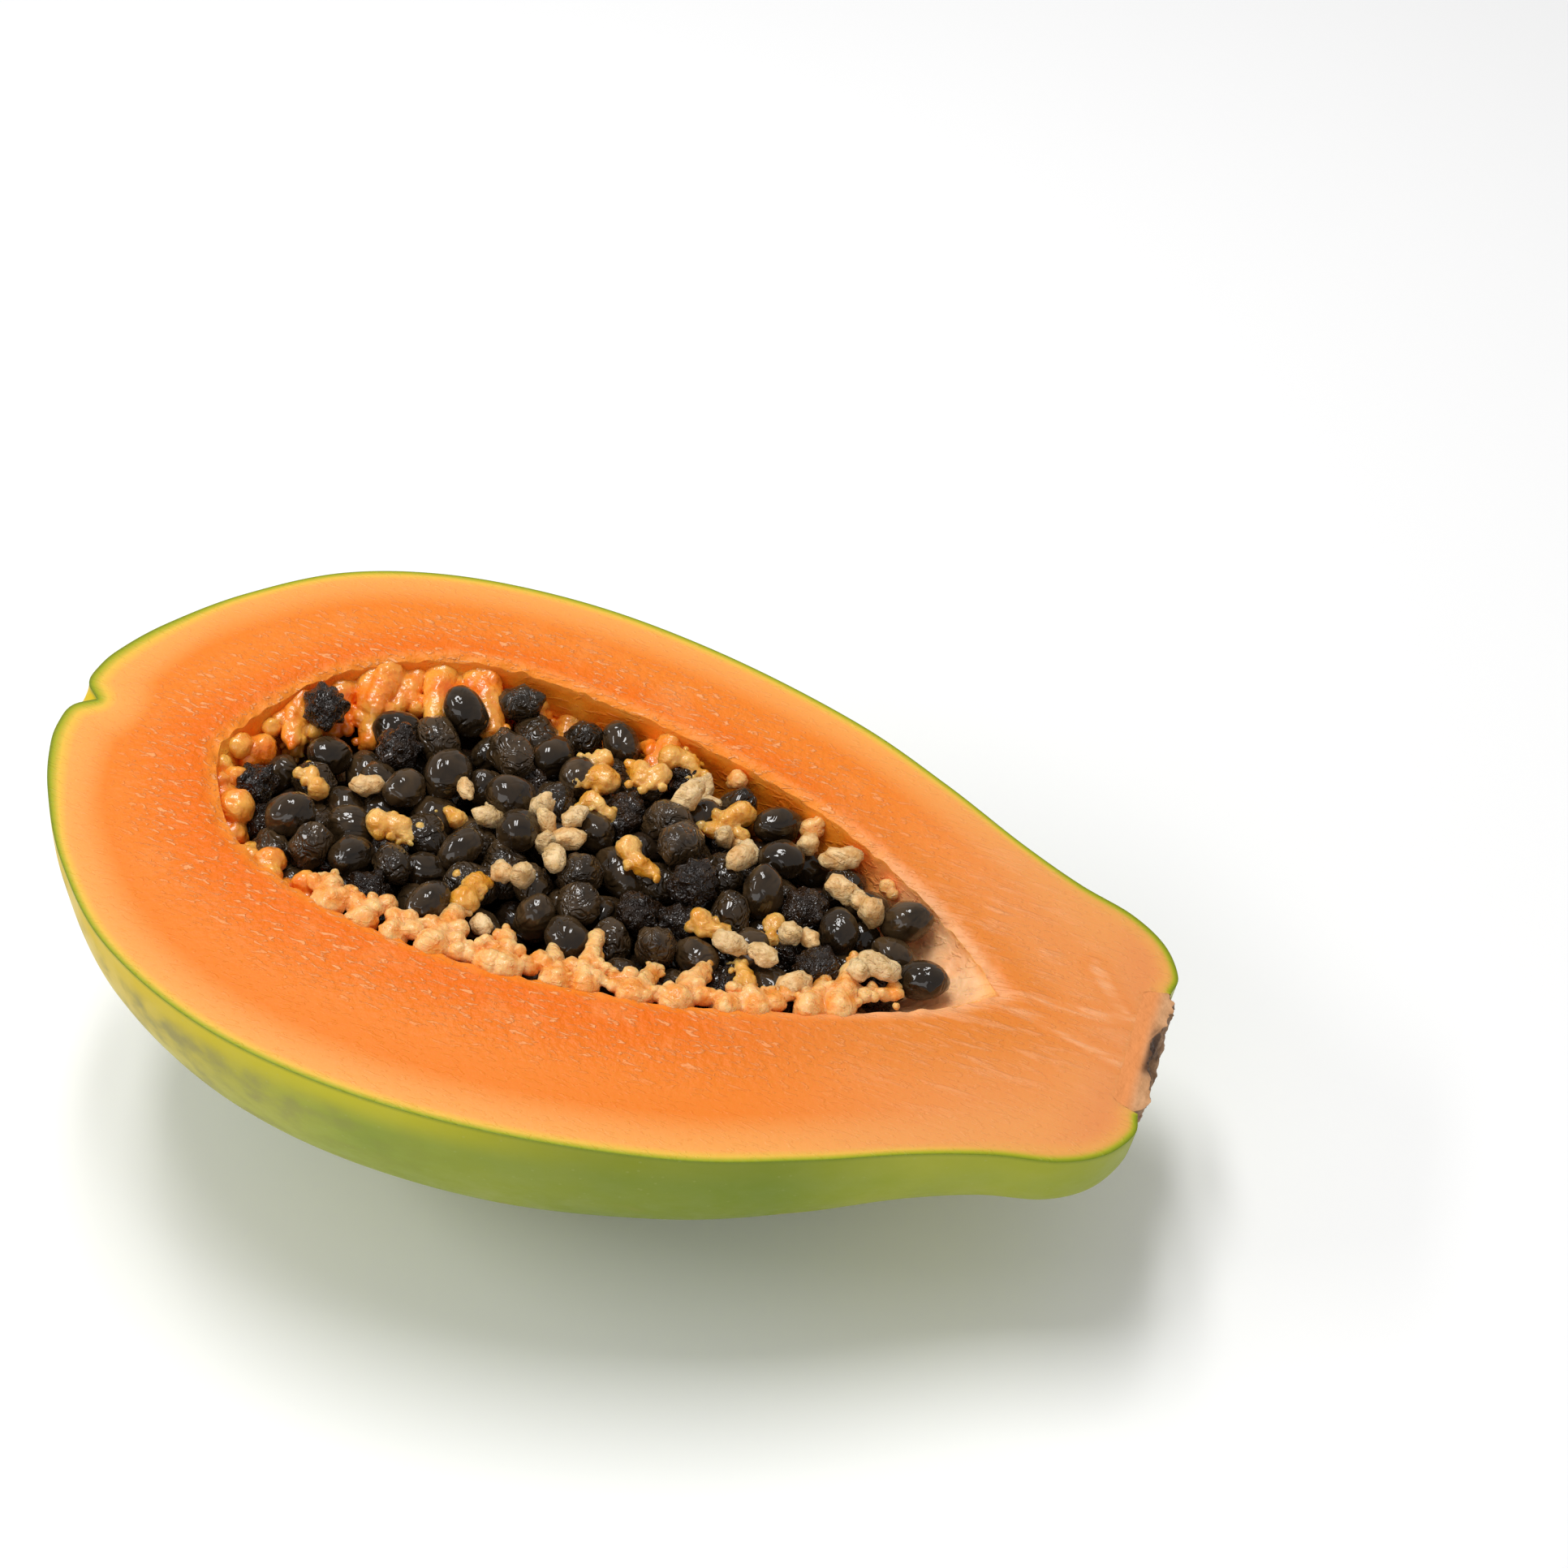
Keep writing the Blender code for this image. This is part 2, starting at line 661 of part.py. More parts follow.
def stalk_stub(stalk_material):
    """The woody stub left in its seat: half a ragged disc, cut by the same knife."""
    foot = SEAT_FLOOR + JOINT_GAP
    profile = [(foot + out, STALK_RADIUS * share) for out, share in STUB_PROFILE]
    sides = STUB_SIDES
    points, faces, rows = [], [], []
    for row, (x, radius) in enumerate(profile):
        if radius == 0.0:
            points.append((x, 0.0, 0.0))
            rows.append([len(points) - 1] * (sides + 1))
            continue
        cells = []
        for k in range(sides + 1):
            angle = math.pi * k / sides
            ragged = STUB_RAGGED * math.sin(3.1 * k + row) if row >= RAGGED_FROM_ROW else 0.0
            edge = k in (0, sides)
            down = 0.0 if edge else -radius * math.sin(angle)
            points.append((x + ragged, -radius * math.cos(angle), down))
            cells.append(len(points) - 1)
        rows.append(cells)
    for one, two in zip(rows, rows[1:]):
        for a, b, c, d in zip(one, one[1:], two[1:], two):
            corners = list(dict.fromkeys((a, b, c, d)))
            if len(corners) > 2:
                faces.append(corners)
    faces.append([r[0] for r in rows] + [r[-1] for r in rows[-2:0:-1]])
    obj = make_object("stalk_stub", points, faces, [stalk_material])
    shade(obj)


def main():
    clear_scene()
    skin = material("papaya_skin", (0.32, 0.42, 0.06), 0.4)
    flesh = material("papaya_flesh", (0.95, 0.36, 0.09), 0.35)
    seed_coat = material("seed_coat", (0.035, 0.024, 0.018), 0.2)
    wood = material("stalk_wood", (0.36, 0.22, 0.13), 0.8)
    fruit = fruit_half(flesh, skin)
    unite(fruit, [tube_through("strand", balls, [flesh]) for balls in pulp_strands()])
    shade(fruit)
    seed_heap_object(seed_coat)
    stalk_stub(wood)


main()
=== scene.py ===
import math
import random

import bpy
import numpy as np
from mathutils import Matrix, Vector, noise
from mathutils.geometry import delaunay_2d_cdt


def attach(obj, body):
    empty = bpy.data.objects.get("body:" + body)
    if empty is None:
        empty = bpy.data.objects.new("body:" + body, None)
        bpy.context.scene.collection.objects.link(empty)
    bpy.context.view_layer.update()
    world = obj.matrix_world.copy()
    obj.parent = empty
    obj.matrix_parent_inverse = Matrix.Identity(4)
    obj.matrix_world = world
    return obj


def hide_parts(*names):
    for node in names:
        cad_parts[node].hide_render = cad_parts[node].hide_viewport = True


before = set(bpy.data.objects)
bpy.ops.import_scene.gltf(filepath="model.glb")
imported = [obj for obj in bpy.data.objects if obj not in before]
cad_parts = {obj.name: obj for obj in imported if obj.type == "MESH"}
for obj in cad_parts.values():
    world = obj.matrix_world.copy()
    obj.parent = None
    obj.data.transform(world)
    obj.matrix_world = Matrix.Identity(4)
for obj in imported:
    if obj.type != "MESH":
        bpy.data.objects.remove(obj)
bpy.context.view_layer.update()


# The fruit itself: half a papaya, its green skin, orange flesh and open seed cavity grown as one.
# A knife cut it lengthwise, so the cut is flat and wet, and it lies on the skin of its belly.
# Its points are in millimetres, x from blossom tip to stalk, y across and z up from the cut.
REST_DIP = 8.2
REST_SAG = 1.2
SKIN_PROFILE = [
    (1.2, 0.0), (-1.4, 2.6), (-1.7, 6.0), (-0.6, 11.0), (3.4, 19.4), (11.5, 30.8),
    (24.0, 42.2), (42.0, 49.8), (63.0, 52.5), (86.0, 50.9), (110.0, 45.5), (127.0, 38.6),
    (141.0, 31.6), (151.5, 27.2), (160.5, 24.6), (166.5, 20.8), (169.7, 15.6), (169.4, 11.9),
]
SEAT = [(166.2, 11.0), (165.4, 10.4), (165.4, 0.0)]
SKIN_LOBES = 0.012
SKIN_WAVER = 0.22
BELLY = [(0.0, 0.80), (14.0, 0.86), (40.0, 0.955), (80.0, 1.01), (130.0, 1.01), (170.0, 1.12)]
NEAR_RIM = [
    (21.5, 0.0), (24.2, -6.4), (31.5, -15.8), (45.0, -21.8), (66.0, -24.4), (86.0, -22.5),
    (106.0, -18.2), (125.0, -10.6), (137.0, -4.8), (145.5, 1.5),
]
FAR_RIM = [
    (21.5, 0.0), (24.6, 9.0), (31.5, 21.0), (43.0, 29.6), (57.0, 33.6), (78.0, 32.6),
    (96.0, 29.4), (113.0, 24.0), (127.0, 16.6), (138.0, 8.6), (145.5, 1.5),
]
CAVITY_DEPTH = [
    (21.5, 0.0), (26.0, 9.0), (34.0, 17.0), (48.0, 24.5), (66.0, 28.0), (84.0, 26.5),
    (102.0, 21.0), (118.0, 14.0), (130.0, 8.0), (139.0, 3.6), (145.5, 0.0),
]
CAVITY_ROUNDNESS = 0.8
# The pale strands that feed the fruit run from the cavity's tip to the stalk, on the cut
VEINS = [
    [(144.0, 1.6), (151.1, 2.3), (160.0, 3.4), (165.4, 4.6)],
    [(144.0, 0.3), (151.9, -1.0), (159.0, -2.7), (165.4, -3.8)],
    [(157.5, 12.4), (160.5, 8.6), (163.6, 5.1)],
]
LIP = {"wide": 2.0, "wide at the ends": 4.2, "drop": 1.1, "ends": (40.0, 28.0, 108.0, 138.0)}
SKIN_ROWS = 300
SEAT_ROWS = 10
SKIN_SIDES = 64
CUT_SPACING = 0.62
CAVITY_SIDES = 64
CAVITY_ROUGHNESS = 0.45
SHARP_FROM = math.radians(62.0)
SKIN_FACE, CUT_FACE, CAVITY_FACE = 0, 1, 2


def smooth_through(points, steps=24):
    """A Catmull-Rom curve through the points, as an array of steps points a span."""
    known = np.array(points, float)
    known = np.vstack([2 * known[0] - known[1], known, 2 * known[-1] - known[-2]])
    t = np.linspace(0.0, 1.0, steps, endpoint=False)[:, None]
    spans = [
        b + 0.5 * t * (c - a + t * (2 * a - 5 * b + 4 * c - d + t * (3 * b - a - 3 * c + d)))
        for a, b, c, d in zip(known, known[1:], known[2:], known[3:])
    ]
    return np.vstack([*spans, known[-2]])


def spaced(curve, count, crowding=0.75):
    """count + 1 points along a curve, by its length, closer together at both ends."""
    curve = np.asarray(curve, float)
    steps = np.linalg.norm(np.diff(curve, axis=0), axis=1)
    along = np.concatenate([[0.0], np.cumsum(steps)])
    u = np.linspace(0.0, 1.0, count + 1)
    u = (u - crowding * np.sin(2 * math.pi * u) / (2 * math.pi)) * along[-1]
    return np.column_stack([np.interp(u, along, curve[:, k]) for k in range(2)])


BELLY_CURVE = smooth_through(BELLY)
NEAR_CURVE = smooth_through(NEAR_RIM)
FAR_CURVE = smooth_through(FAR_RIM)
DEPTH_CURVE = smooth_through(CAVITY_DEPTH)


def skin_point(x, radius, angle):
    """A point of the skin: angle 0 is the near edge of the cut, and pi the far edge."""
    lobe = 1.0 + SKIN_LOBES * math.sin(5 * angle)
    share = np.interp(x, BELLY_CURVE[:, 0], BELLY_CURVE[:, 1])
    return x, -radius * math.cos(angle) * lobe, -radius * math.sin(angle) * lobe * share


def rim_near(x):
    return np.interp(x, NEAR_CURVE[:, 0], NEAR_CURVE[:, 1])


def rim_far(x):
    return np.interp(x, FAR_CURVE[:, 0], FAR_CURVE[:, 1])


def cavity_floor(x, y):
    """Height of the cavity's wall at (x, y), 0 on its rim and outside it."""
    low, high = rim_near(x), rim_far(x)
    half = np.maximum((high - low) / 2, 1e-6)
    across = np.clip(1.0 - np.abs((y - (low + high) / 2) / half) ** 2, 0.0, 1.0)
    depth = np.interp(x, DEPTH_CURVE[:, 0], DEPTH_CURVE[:, 1], left=0.0, right=0.0)
    return -depth * across ** (CAVITY_ROUNDNESS / 2)


TURN = Matrix.Rotation(math.radians(REST_DIP), 4, "Y")
KEEL = min(
    (TURN @ Vector(skin_point(x, r, math.pi / 2)) for x, r in smooth_through(SKIN_PROFILE)),
    key=lambda point: point.z,
)
POSE = Matrix.Scale(0.001, 4) @ Matrix.Translation((-KEEL.x, 0.0, -KEEL.z - REST_SAG)) @ TURN
POSE_ARRAY = np.array(POSE)


def lay_down(points):
    """Points of the fruit's frame, in millimetres, as points of the scene, in metres."""
    points = np.asarray(points, float)
    return points @ POSE_ARRAY[:3, :3].T + POSE_ARRAY[:3, 3]


def mesh_object(name, points, faces, attributes=None):
    """A plain mesh object at the origin, with a number or a vector on each vertex by name."""
    mesh = bpy.data.meshes.new(name)
    mesh.from_pydata(np.asarray(points, float).tolist(), [], faces)
    for key, values in (attributes or {}).items():
        values = np.asarray(values, float)
        kind, field = ("FLOAT_VECTOR", "vector") if values.ndim == 2 else ("FLOAT", "value")
        mesh.attributes.new(key, kind, "POINT").data.foreach_set(field, values.ravel())
    obj = bpy.data.objects.new(name, mesh)
    bpy.context.scene.collection.objects.link(obj)
    return obj


def strip(first, second):
    """Faces between two rows of vertices, of three corners where two of them are one."""
    cells = zip(first, first[1:], second[1:], second)
    return [face for face in (list(dict.fromkeys(cell)) for cell in cells) if len(face) > 2]


def around(rows):
    """The two edges of a half turn as one loop of vertices."""
    return [row[0] for row in rows] + [row[-1] for row in rows[-2:0:-1]]


def nearest(points, curve):
    """Distance on the cut from each point to a curve given as a list of points."""
    curve = np.asarray(curve, float)
    starts, spans = curve[:-1, :2], np.diff(curve[:, :2], axis=0)
    best = np.full(len(points), 1e9)
    for start, span in zip(starts, spans):
        offset = points[:, :2] - start
        share = np.clip(offset @ span / max(span @ span, 1e-12), 0.0, 1.0)
        best = np.minimum(best, np.linalg.norm(offset - share[:, None] * span, axis=1))
    return best


def knife_cut(points, outline, rim):
    """Triangles and new points that fill the cut between the skin's outline and the cavity."""
    corners = [*outline, *rim]
    edge = np.array([points[i] for i in corners], float)
    split = len(outline)
    low, high = edge.min(axis=0), edge.max(axis=0)
    x, y = np.meshgrid(*(np.arange(low[k], high[k], CUT_SPACING) for k in range(2)))
    x[::2] += CUT_SPACING / 2
    grid = np.column_stack([x.ravel(), y.ravel()])
    apart = np.minimum(nearest(grid, edge[:split]), nearest(grid, edge[split:]))
    grid = grid[apart > CUT_SPACING / 2]
    edges = [(k, (k + 1) % split) for k in range(split)]
    edges += [(split + k, split + (k + 1) % len(rim)) for k in range(len(rim))]
    places = [Vector(p) for p in np.vstack([edge[:, :2], grid])]
    within_edges, merge_distance = 1, 1e-5
    made, _, triangles, sources, _, _ = delaunay_2d_cdt(
        places, edges, [], within_edges, merge_distance
    )
    faces, known = [], {}
    for triangle in triangles:
        x, y = sum((made[v] for v in triangle), Vector((0.0, 0.0))) / 3
        if rim_near(x) < y < rim_far(x):
            continue
        for v in triangle:
            source = sources[v][0]
            if v not in known and source >= len(corners):
                points.append((*made[v], 0.0))
            known.setdefault(v, corners[source] if source < len(corners) else len(points) - 1)
        faces.append([known[v] for v in triangle])
    return faces


def fruit_mesh():
    """Skin, cut and cavity wall as one closed mesh, with each vertex's place in the flesh."""
    skin = spaced(smooth_through(SKIN_PROFILE), SKIN_ROWS)
    profile = np.vstack([skin, spaced(SEAT, SEAT_ROWS, 0.0)])
    rows = len(profile) - 1
    stations = 0.5 - 0.5 * np.cos(np.linspace(0.0, math.pi, rows + 1))
    rim_x = NEAR_RIM[0][0] + (NEAR_RIM[-1][0] - NEAR_RIM[0][0]) * stations
    points, faces, kinds = [], [], []

    def add(point):
        points.append(point)
        return len(points) - 1

    def fill(made, kind):
        faces.extend(made)
        kinds.extend([kind] * len(made))

    skin_rows, cavity_rows = [], []
    for row, (x, radius) in enumerate(profile):
        if row in (0, rows):
            skin_rows.append([add((x, 0.0, 0.0))] * (SKIN_SIDES + 1))
            continue
        cells = []
        for angle in np.linspace(0.0, math.pi, SKIN_SIDES + 1):
            place = Vector((x / 26.0, 1.6 * math.cos(angle), 1.6 * math.sin(angle)))
            waver = noise.noise(place) * SKIN_WAVER * min(1.0, radius / 12.0)
            cells.append(add(skin_point(x, radius + waver, angle)))
        skin_rows.append(cells)
    for row, x in enumerate(rim_x):
        low, high = rim_near(x), rim_far(x)
        if row in (0, rows):
            cavity_rows.append([add((x, low, 0.0))] * (CAVITY_SIDES + 1))
            continue
        cells = []
        for angle in np.linspace(0.0, math.pi, CAVITY_SIDES + 1):
            y = (low + high) / 2 - (high - low) / 2 * math.cos(angle)
            edge = angle in (0.0, math.pi)
            z = 0.0 if edge else float(cavity_floor(x, y))
            rough = noise.fractal(Vector((x / 5.0, y / 3.0, z / 3.0)), 0.8, 2.0, 3)
            z -= 0.0 if edge else CAVITY_ROUGHNESS * abs(rough) * min(1.0, -z / 2.0)
            cells.append(add((x, y, z)))
        cavity_rows.append(cells)
    for rows_here, kind in ((skin_rows, SKIN_FACE), (cavity_rows, CAVITY_FACE)):
        for one, two in zip(rows_here, rows_here[1:]):
            fill(strip(one, two), kind)
    rim = around(cavity_rows)
    fill(knife_cut(points, around(skin_rows), rim), CUT_FACE)
    flat = np.array(points, float)
    near_edge = flat[[r[0] for r in skin_rows[:SKIN_ROWS]]]
    far_edge = flat[[r[-1] for r in skin_rows[:SKIN_ROWS]]]
    lip = flat[rim + [rim[0]]]
    attributes = {
        "rind": np.minimum(nearest(flat, near_edge[::2]), nearest(flat, far_edge[::2])),
        "pit": nearest(flat, lip[::2]),
        "side": np.interp(flat[:, 1], [-4.0, 16.0], [1.0, 1.8]),
        "along": flat[:, 0],
        "depth": -flat[:, 2],
        "vein": np.minimum.reduce([nearest(flat, smooth_through(v, 6)) for v in VEINS]),
    }
    left_from, left_to, right_from, right_to = LIP["ends"]
    at_end = np.maximum(
        np.interp(-flat[:, 0], [-left_from, -left_to], [0.0, 1.0]),
        np.interp(flat[:, 0], [right_from, right_to], [0.0, 1.0]),
    )
    wide = LIP["wide"] + (LIP["wide at the ends"] - LIP["wide"]) * at_end
    worn = [0.75 + 0.7 * noise.noise(Vector((x / 2.1, y / 2.1, 0.0))) for x, y, _z in flat]
    share = np.clip(1.0 - attributes["pit"] / wide, 0.0, 1.0) ** 2
    flat[:, 2] = np.minimum(flat[:, 2], -LIP["drop"] * share * np.array(worn))
    placed = lay_down(flat)
    placed[:, 2] = np.maximum(placed[:, 2], 0.0)
    obj = mesh_object("fruit", placed, faces, attributes)
    obj.data.polygons.foreach_set("material_index", kinds)
    obj.data.shade_smooth()
    obj.data.set_sharp_from_angle(angle=SHARP_FROM)
    return obj


def put(tree, kind, inputs=None, **settings):
    """A new node with its settings, its input values, and links from the sockets given."""
    made = tree.nodes.new(kind)
    for key, value in settings.items():
        setattr(made, key, value)
    for key, value in (inputs or {}).items():
        if isinstance(value, bpy.types.NodeSocket):
            tree.links.new(value, made.inputs[key])
        else:
            made.inputs[key].default_value = value
    return made


def made_by(tree, kind, inputs=None, **settings):
    """The first output of a new node."""
    return put(tree, kind, inputs, **settings).outputs[0]


def sums(tree, operation, a, b=0.0, c=0.0):
    """One Math node's result."""
    return made_by(tree, "ShaderNodeMath", {0: a, 1: b, 2: c}, operation=operation)


def within(tree, value, low, high, to_low=0.0, to_high=1.0):
    """The value mapped from low..high onto to_low..to_high with soft ends, and kept inside."""
    inputs = {0: value, 1: low, 2: high, 3: to_low, 4: to_high}
    return made_by(tree, "ShaderNodeMapRange", inputs, interpolation_type="SMOOTHSTEP")


def mixed(tree, share, a, b):
    """Two colours mixed by a share."""
    return put(tree, "ShaderNodeMix", {0: share, 6: a, 7: b}, data_type="RGBA").outputs[2]


def ramp(tree, value, stops):
    """A colour ramp over the value, from (position, colour) stops."""
    made = put(tree, "ShaderNodeValToRGB", {0: value})
    elements = made.color_ramp.elements
    while len(elements) < len(stops):
        elements.new(0.5)
    for element, (position, colour) in zip(elements, stops):
        element.position = position
        element.color = (*colour, 1.0)
    return made.outputs[0]


def attribute(tree, name):
    return put(tree, "ShaderNodeAttribute", attribute_name=name).outputs["Fac"]


def new_material(name, roughness, **constants):
    """A material with a Principled BSDF, and its tree and shader for the finish to be built on."""
    made = bpy.data.materials.new(name)
    made.use_nodes = True
    shader = made.node_tree.nodes["Principled BSDF"]
    shader.inputs["Roughness"].default_value = roughness
    for key, value in constants.items():
        shader.inputs[key.replace("_", " ")].default_value = value
    return made, made.node_tree, shader


def link(tree, socket, shader, name):
    tree.links.new(socket, shader.inputs[name])


def object_noise(tree, scale, detail):
    """Noise over the object's own coordinates, from 0 to 1."""
    place = put(tree, "ShaderNodeTexCoord").outputs["Object"]
    inputs = {"Vector": place, "Scale": scale, "Detail": detail}
    return made_by(tree, "ShaderNodeTexNoise", inputs)


def tint(tree, colour, mask, share, tone):
    """The colour with a tone laid over it by a share of the mask."""
    return mixed(tree, sums(tree, "MULTIPLY", mask, share), colour, (*tone, 1.0))


def both(tree, *masks):
    """The product of the masks, which is full only where all of them are."""
    product = masks[0]
    for mask in masks[1:]:
        product = sums(tree, "MULTIPLY", product, mask)
    return product


def bumped(tree, shader, height, strength, distance):
    """Fine relief from a height, through one Bump node, on the shader's Normal."""
    inputs = {"Height": height, "Strength": strength, "Distance": distance}
    link(tree, made_by(tree, "ShaderNodeBump", inputs), shader, "Normal")


def wet_grain_group():
    """Fine wet grain of cut flesh: a height and a mask of pale torn flecks."""
    group = bpy.data.node_groups.new("wet_grain", "ShaderNodeTree")
    for names, way in ((("Grain Scale", "Fleck Scale"), "INPUT"), (("Height", "Flecks"), "OUTPUT")):
        for name in names:
            group.interface.new_socket(name, in_out=way, socket_type="NodeSocketFloat")
    given = put(group, "NodeGroupInput").outputs
    place = put(group, "ShaderNodeTexCoord").outputs["Object"]
    fine = object_noise(group, given[0], 3.0)
    turned = made_by(
        group,
        "ShaderNodeMapping",
        {"Vector": place, "Rotation": (0.0, 0.0, math.radians(-17.0)), "Scale": (0.3, 1.0, 1.0)},
    )
    streak = made_by(
        group,
        "ShaderNodeTexNoise",
        {"Vector": turned, "Scale": given[1], "Detail": 2.0, "Distortion": 0.6},
    )
    flecks = within(group, streak, 0.55, 0.67)
    height = sums(group, "MULTIPLY_ADD", flecks, 0.8, fine)
    out = put(group, "NodeGroupOutput").inputs
    for socket, value in zip(out, (height, flecks)):
        group.links.new(value, socket)
    return group


WET_GRAIN = wet_grain_group()


def wet_grain(tree, grain_scale, fleck_scale):
    made = put(tree, "ShaderNodeGroup", node_tree=WET_GRAIN)
    made.inputs[0].default_value = grain_scale
    made.inputs[1].default_value = fleck_scale
    return made.outputs


SEAT_FLESH = (0.78, 0.28, 0.085, 1.0)
FLESH_SCATTER = (1.0, 0.35, 0.12)


def cut_flesh():
    """The flesh on the cut: yellow-green rind, peach, then orange round the cavity, salmon neck."""
    made, tree, shader = new_material(
        "cut_flesh", 0.42, Subsurface_Weight=0.15, Subsurface_Scale=0.003,
        Subsurface_Radius=FLESH_SCATTER, Specular_IOR_Level=0.2,
    )
    place = put(tree, "ShaderNodeTexCoord").outputs["Object"]
    waver = sums(tree, "MULTIPLY_ADD", object_noise(tree, 34.0, 3.0), 5.0, -2.5)
    rind = attribute(tree, "rind")
    along = attribute(tree, "along")
    pit = attribute(tree, "pit")
    shoulder = within(tree, along, 138.0, 166.0)
    ends = sums(tree, "MAXIMUM", within(tree, along, 12.0, 0.0), shoulder)
    thin = sums(tree, "DIVIDE", rind, sums(tree, "MULTIPLY_ADD", ends, 0.9, 1.0))
    skin_side = ramp(
        tree,
        sums(tree, "DIVIDE", thin, 8.0),
        [
            (0.0, (0.12, 0.18, 0.006)),
            (0.04, (0.36, 0.38, 0.010)),
            (0.12, (0.80, 0.49, 0.060)),
            (0.24, (0.90, 0.37, 0.080)),
            (0.55, (0.88, 0.32, 0.065)),
            (1.0, (0.85, 0.215, 0.016)),
        ],
    )
    pale = within(tree, along, 112.0, 150.0)
    colour = tint(tree, skin_side, pale, 0.7, (0.79, 0.31, 0.095))
    colour = mixed(tree, within(tree, rind, 1.6, 0.4), colour, skin_side)
    neck = within(tree, along, 96.0, 136.0)
    heart = mixed(tree, neck, (0.83, 0.160, 0.002, 1.0), (0.76, 0.225, 0.030, 1.0))
    deep = sums(tree, "MULTIPLY_ADD", pit, attribute(tree, "side"), waver)
    near_pit = within(tree, deep, 16.5, 3.5)
    inner = within(tree, sums(tree, "ADD", rind, waver), 5.0, 12.0)
    colour = mixed(tree, both(tree, near_pit, inner), colour, heart)
    lip = within(tree, pit, 2.6, 0.2)
    lip_colour = mixed(
        tree, within(tree, along, 108.0, 132.0), (0.94, 0.30, 0.03, 1.0), (0.93, 0.47, 0.22, 1.0)
    )
    colour = mixed(tree, sums(tree, "MULTIPLY", lip, 0.7), colour, lip_colour)
    pink = both(tree, within(tree, along, 156.0, 165.0), within(tree, rind, 1.0, 5.0))
    colour = mixed(tree, pink, colour, SEAT_FLESH)
    drawn_out = made_by(tree, "ShaderNodeMapping", {"Vector": place, "Scale": (0.1, 1.0, 1.0)})
    fibre = made_by(
        tree, "ShaderNodeTexNoise", {"Vector": drawn_out, "Scale": 900.0, "Detail": 3.0}
    )
    tip = both(tree, within(tree, along, 122.0, 146.0), within(tree, pit, 26.0, 4.0))
    strands = both(tree, within(tree, fibre, 0.48, 0.7), tip)
    colour = tint(tree, colour, strands, 0.5, (0.93, 0.42, 0.19))
    vein = sums(tree, "ADD", attribute(tree, "vein"), sums(tree, "MULTIPLY", waver, 0.12))
    lens = within(tree, vein, 3.4, 1.2)
    colour = tint(tree, colour, lens, 0.3, (0.78, 0.22, 0.03))
    broken = sums(tree, "MULTIPLY_ADD", within(tree, fibre, 0.38, 0.62), 0.45, 0.08)
    thread = both(tree, within(tree, vein, 1.5, 0.2), broken)
    colour = mixed(tree, thread, colour, (0.93, 0.46, 0.22, 1.0))
    grain = wet_grain(tree, 900.0, 1700.0)
    torn = both(
        tree, within(tree, pit, 18.0, 8.0), within(tree, rind, 4.5, 10.0),
        within(tree, along, 140.0, 100.0, 0.2, 1.0),
    )
    flecks = both(tree, grain["Flecks"], torn)
    colour = tint(tree, colour, flecks, 0.7, (0.97, 0.42, 0.17))
    patch = both(tree, within(tree, object_noise(tree, 130.0, 4.0), 0.5, 0.72), torn)
    colour = tint(tree, colour, patch, 0.4, (0.90, 0.30, 0.07))
    link(tree, colour, shader, "Base Color")
    relief = both(tree, grain["Height"], sums(tree, "MULTIPLY_ADD", torn, 0.9, 0.2))
    relief = sums(tree, "MULTIPLY_ADD", strands, 0.8, relief)
    bumped(tree, shader, relief, 0.6, 0.0005)
    return made


def cavity_flesh():
    """The wall of the seed cavity: deep translucent orange, paler and fibrous at the tip, and
    painted near black deep down as shade under the seeds.
    """
    made, tree, shader = new_material(
        "cavity_flesh", 0.4, Subsurface_Weight=0.25, Subsurface_Scale=0.004,
        Subsurface_Radius=FLESH_SCATTER, Specular_IOR_Level=0.3,
    )
    cloud = object_noise(tree, 150.0, 4.0)
    tip = within(tree, attribute(tree, "along"), 114.0, 136.0)
    deep = ramp(
        tree,
        cloud,
        [(0.3, (0.98, 0.17, 0.005)), (0.55, (0.98, 0.26, 0.012)), (0.75, (1.0, 0.40, 0.04))],
    )
    pale = ramp(tree, cloud, [(0.3, (1.0, 0.42, 0.16)), (0.7, (1.0, 0.60, 0.31))])
    colour = mixed(tree, tip, deep, pale)
    depth = attribute(tree, "depth")
    lip = within(tree, depth, 2.4, 0.4)
    colour = tint(tree, colour, lip, 0.6, (0.95, 0.36, 0.05))
    # Painted shade: from about 8.5 mm deep, and fully by 12 mm, the wall turns near black, for the
    # shade between and under the seeds
    floor = within(tree, depth, 8.5, 12.0)
    colour = mixed(tree, floor, colour, (0.07, 0.010, 0.003, 1.0))
    link(tree, colour, shader, "Base Color")
    bumped(tree, shader, wet_grain(tree, 700.0, 900.0)["Height"], 0.5, 0.0005)
    return made


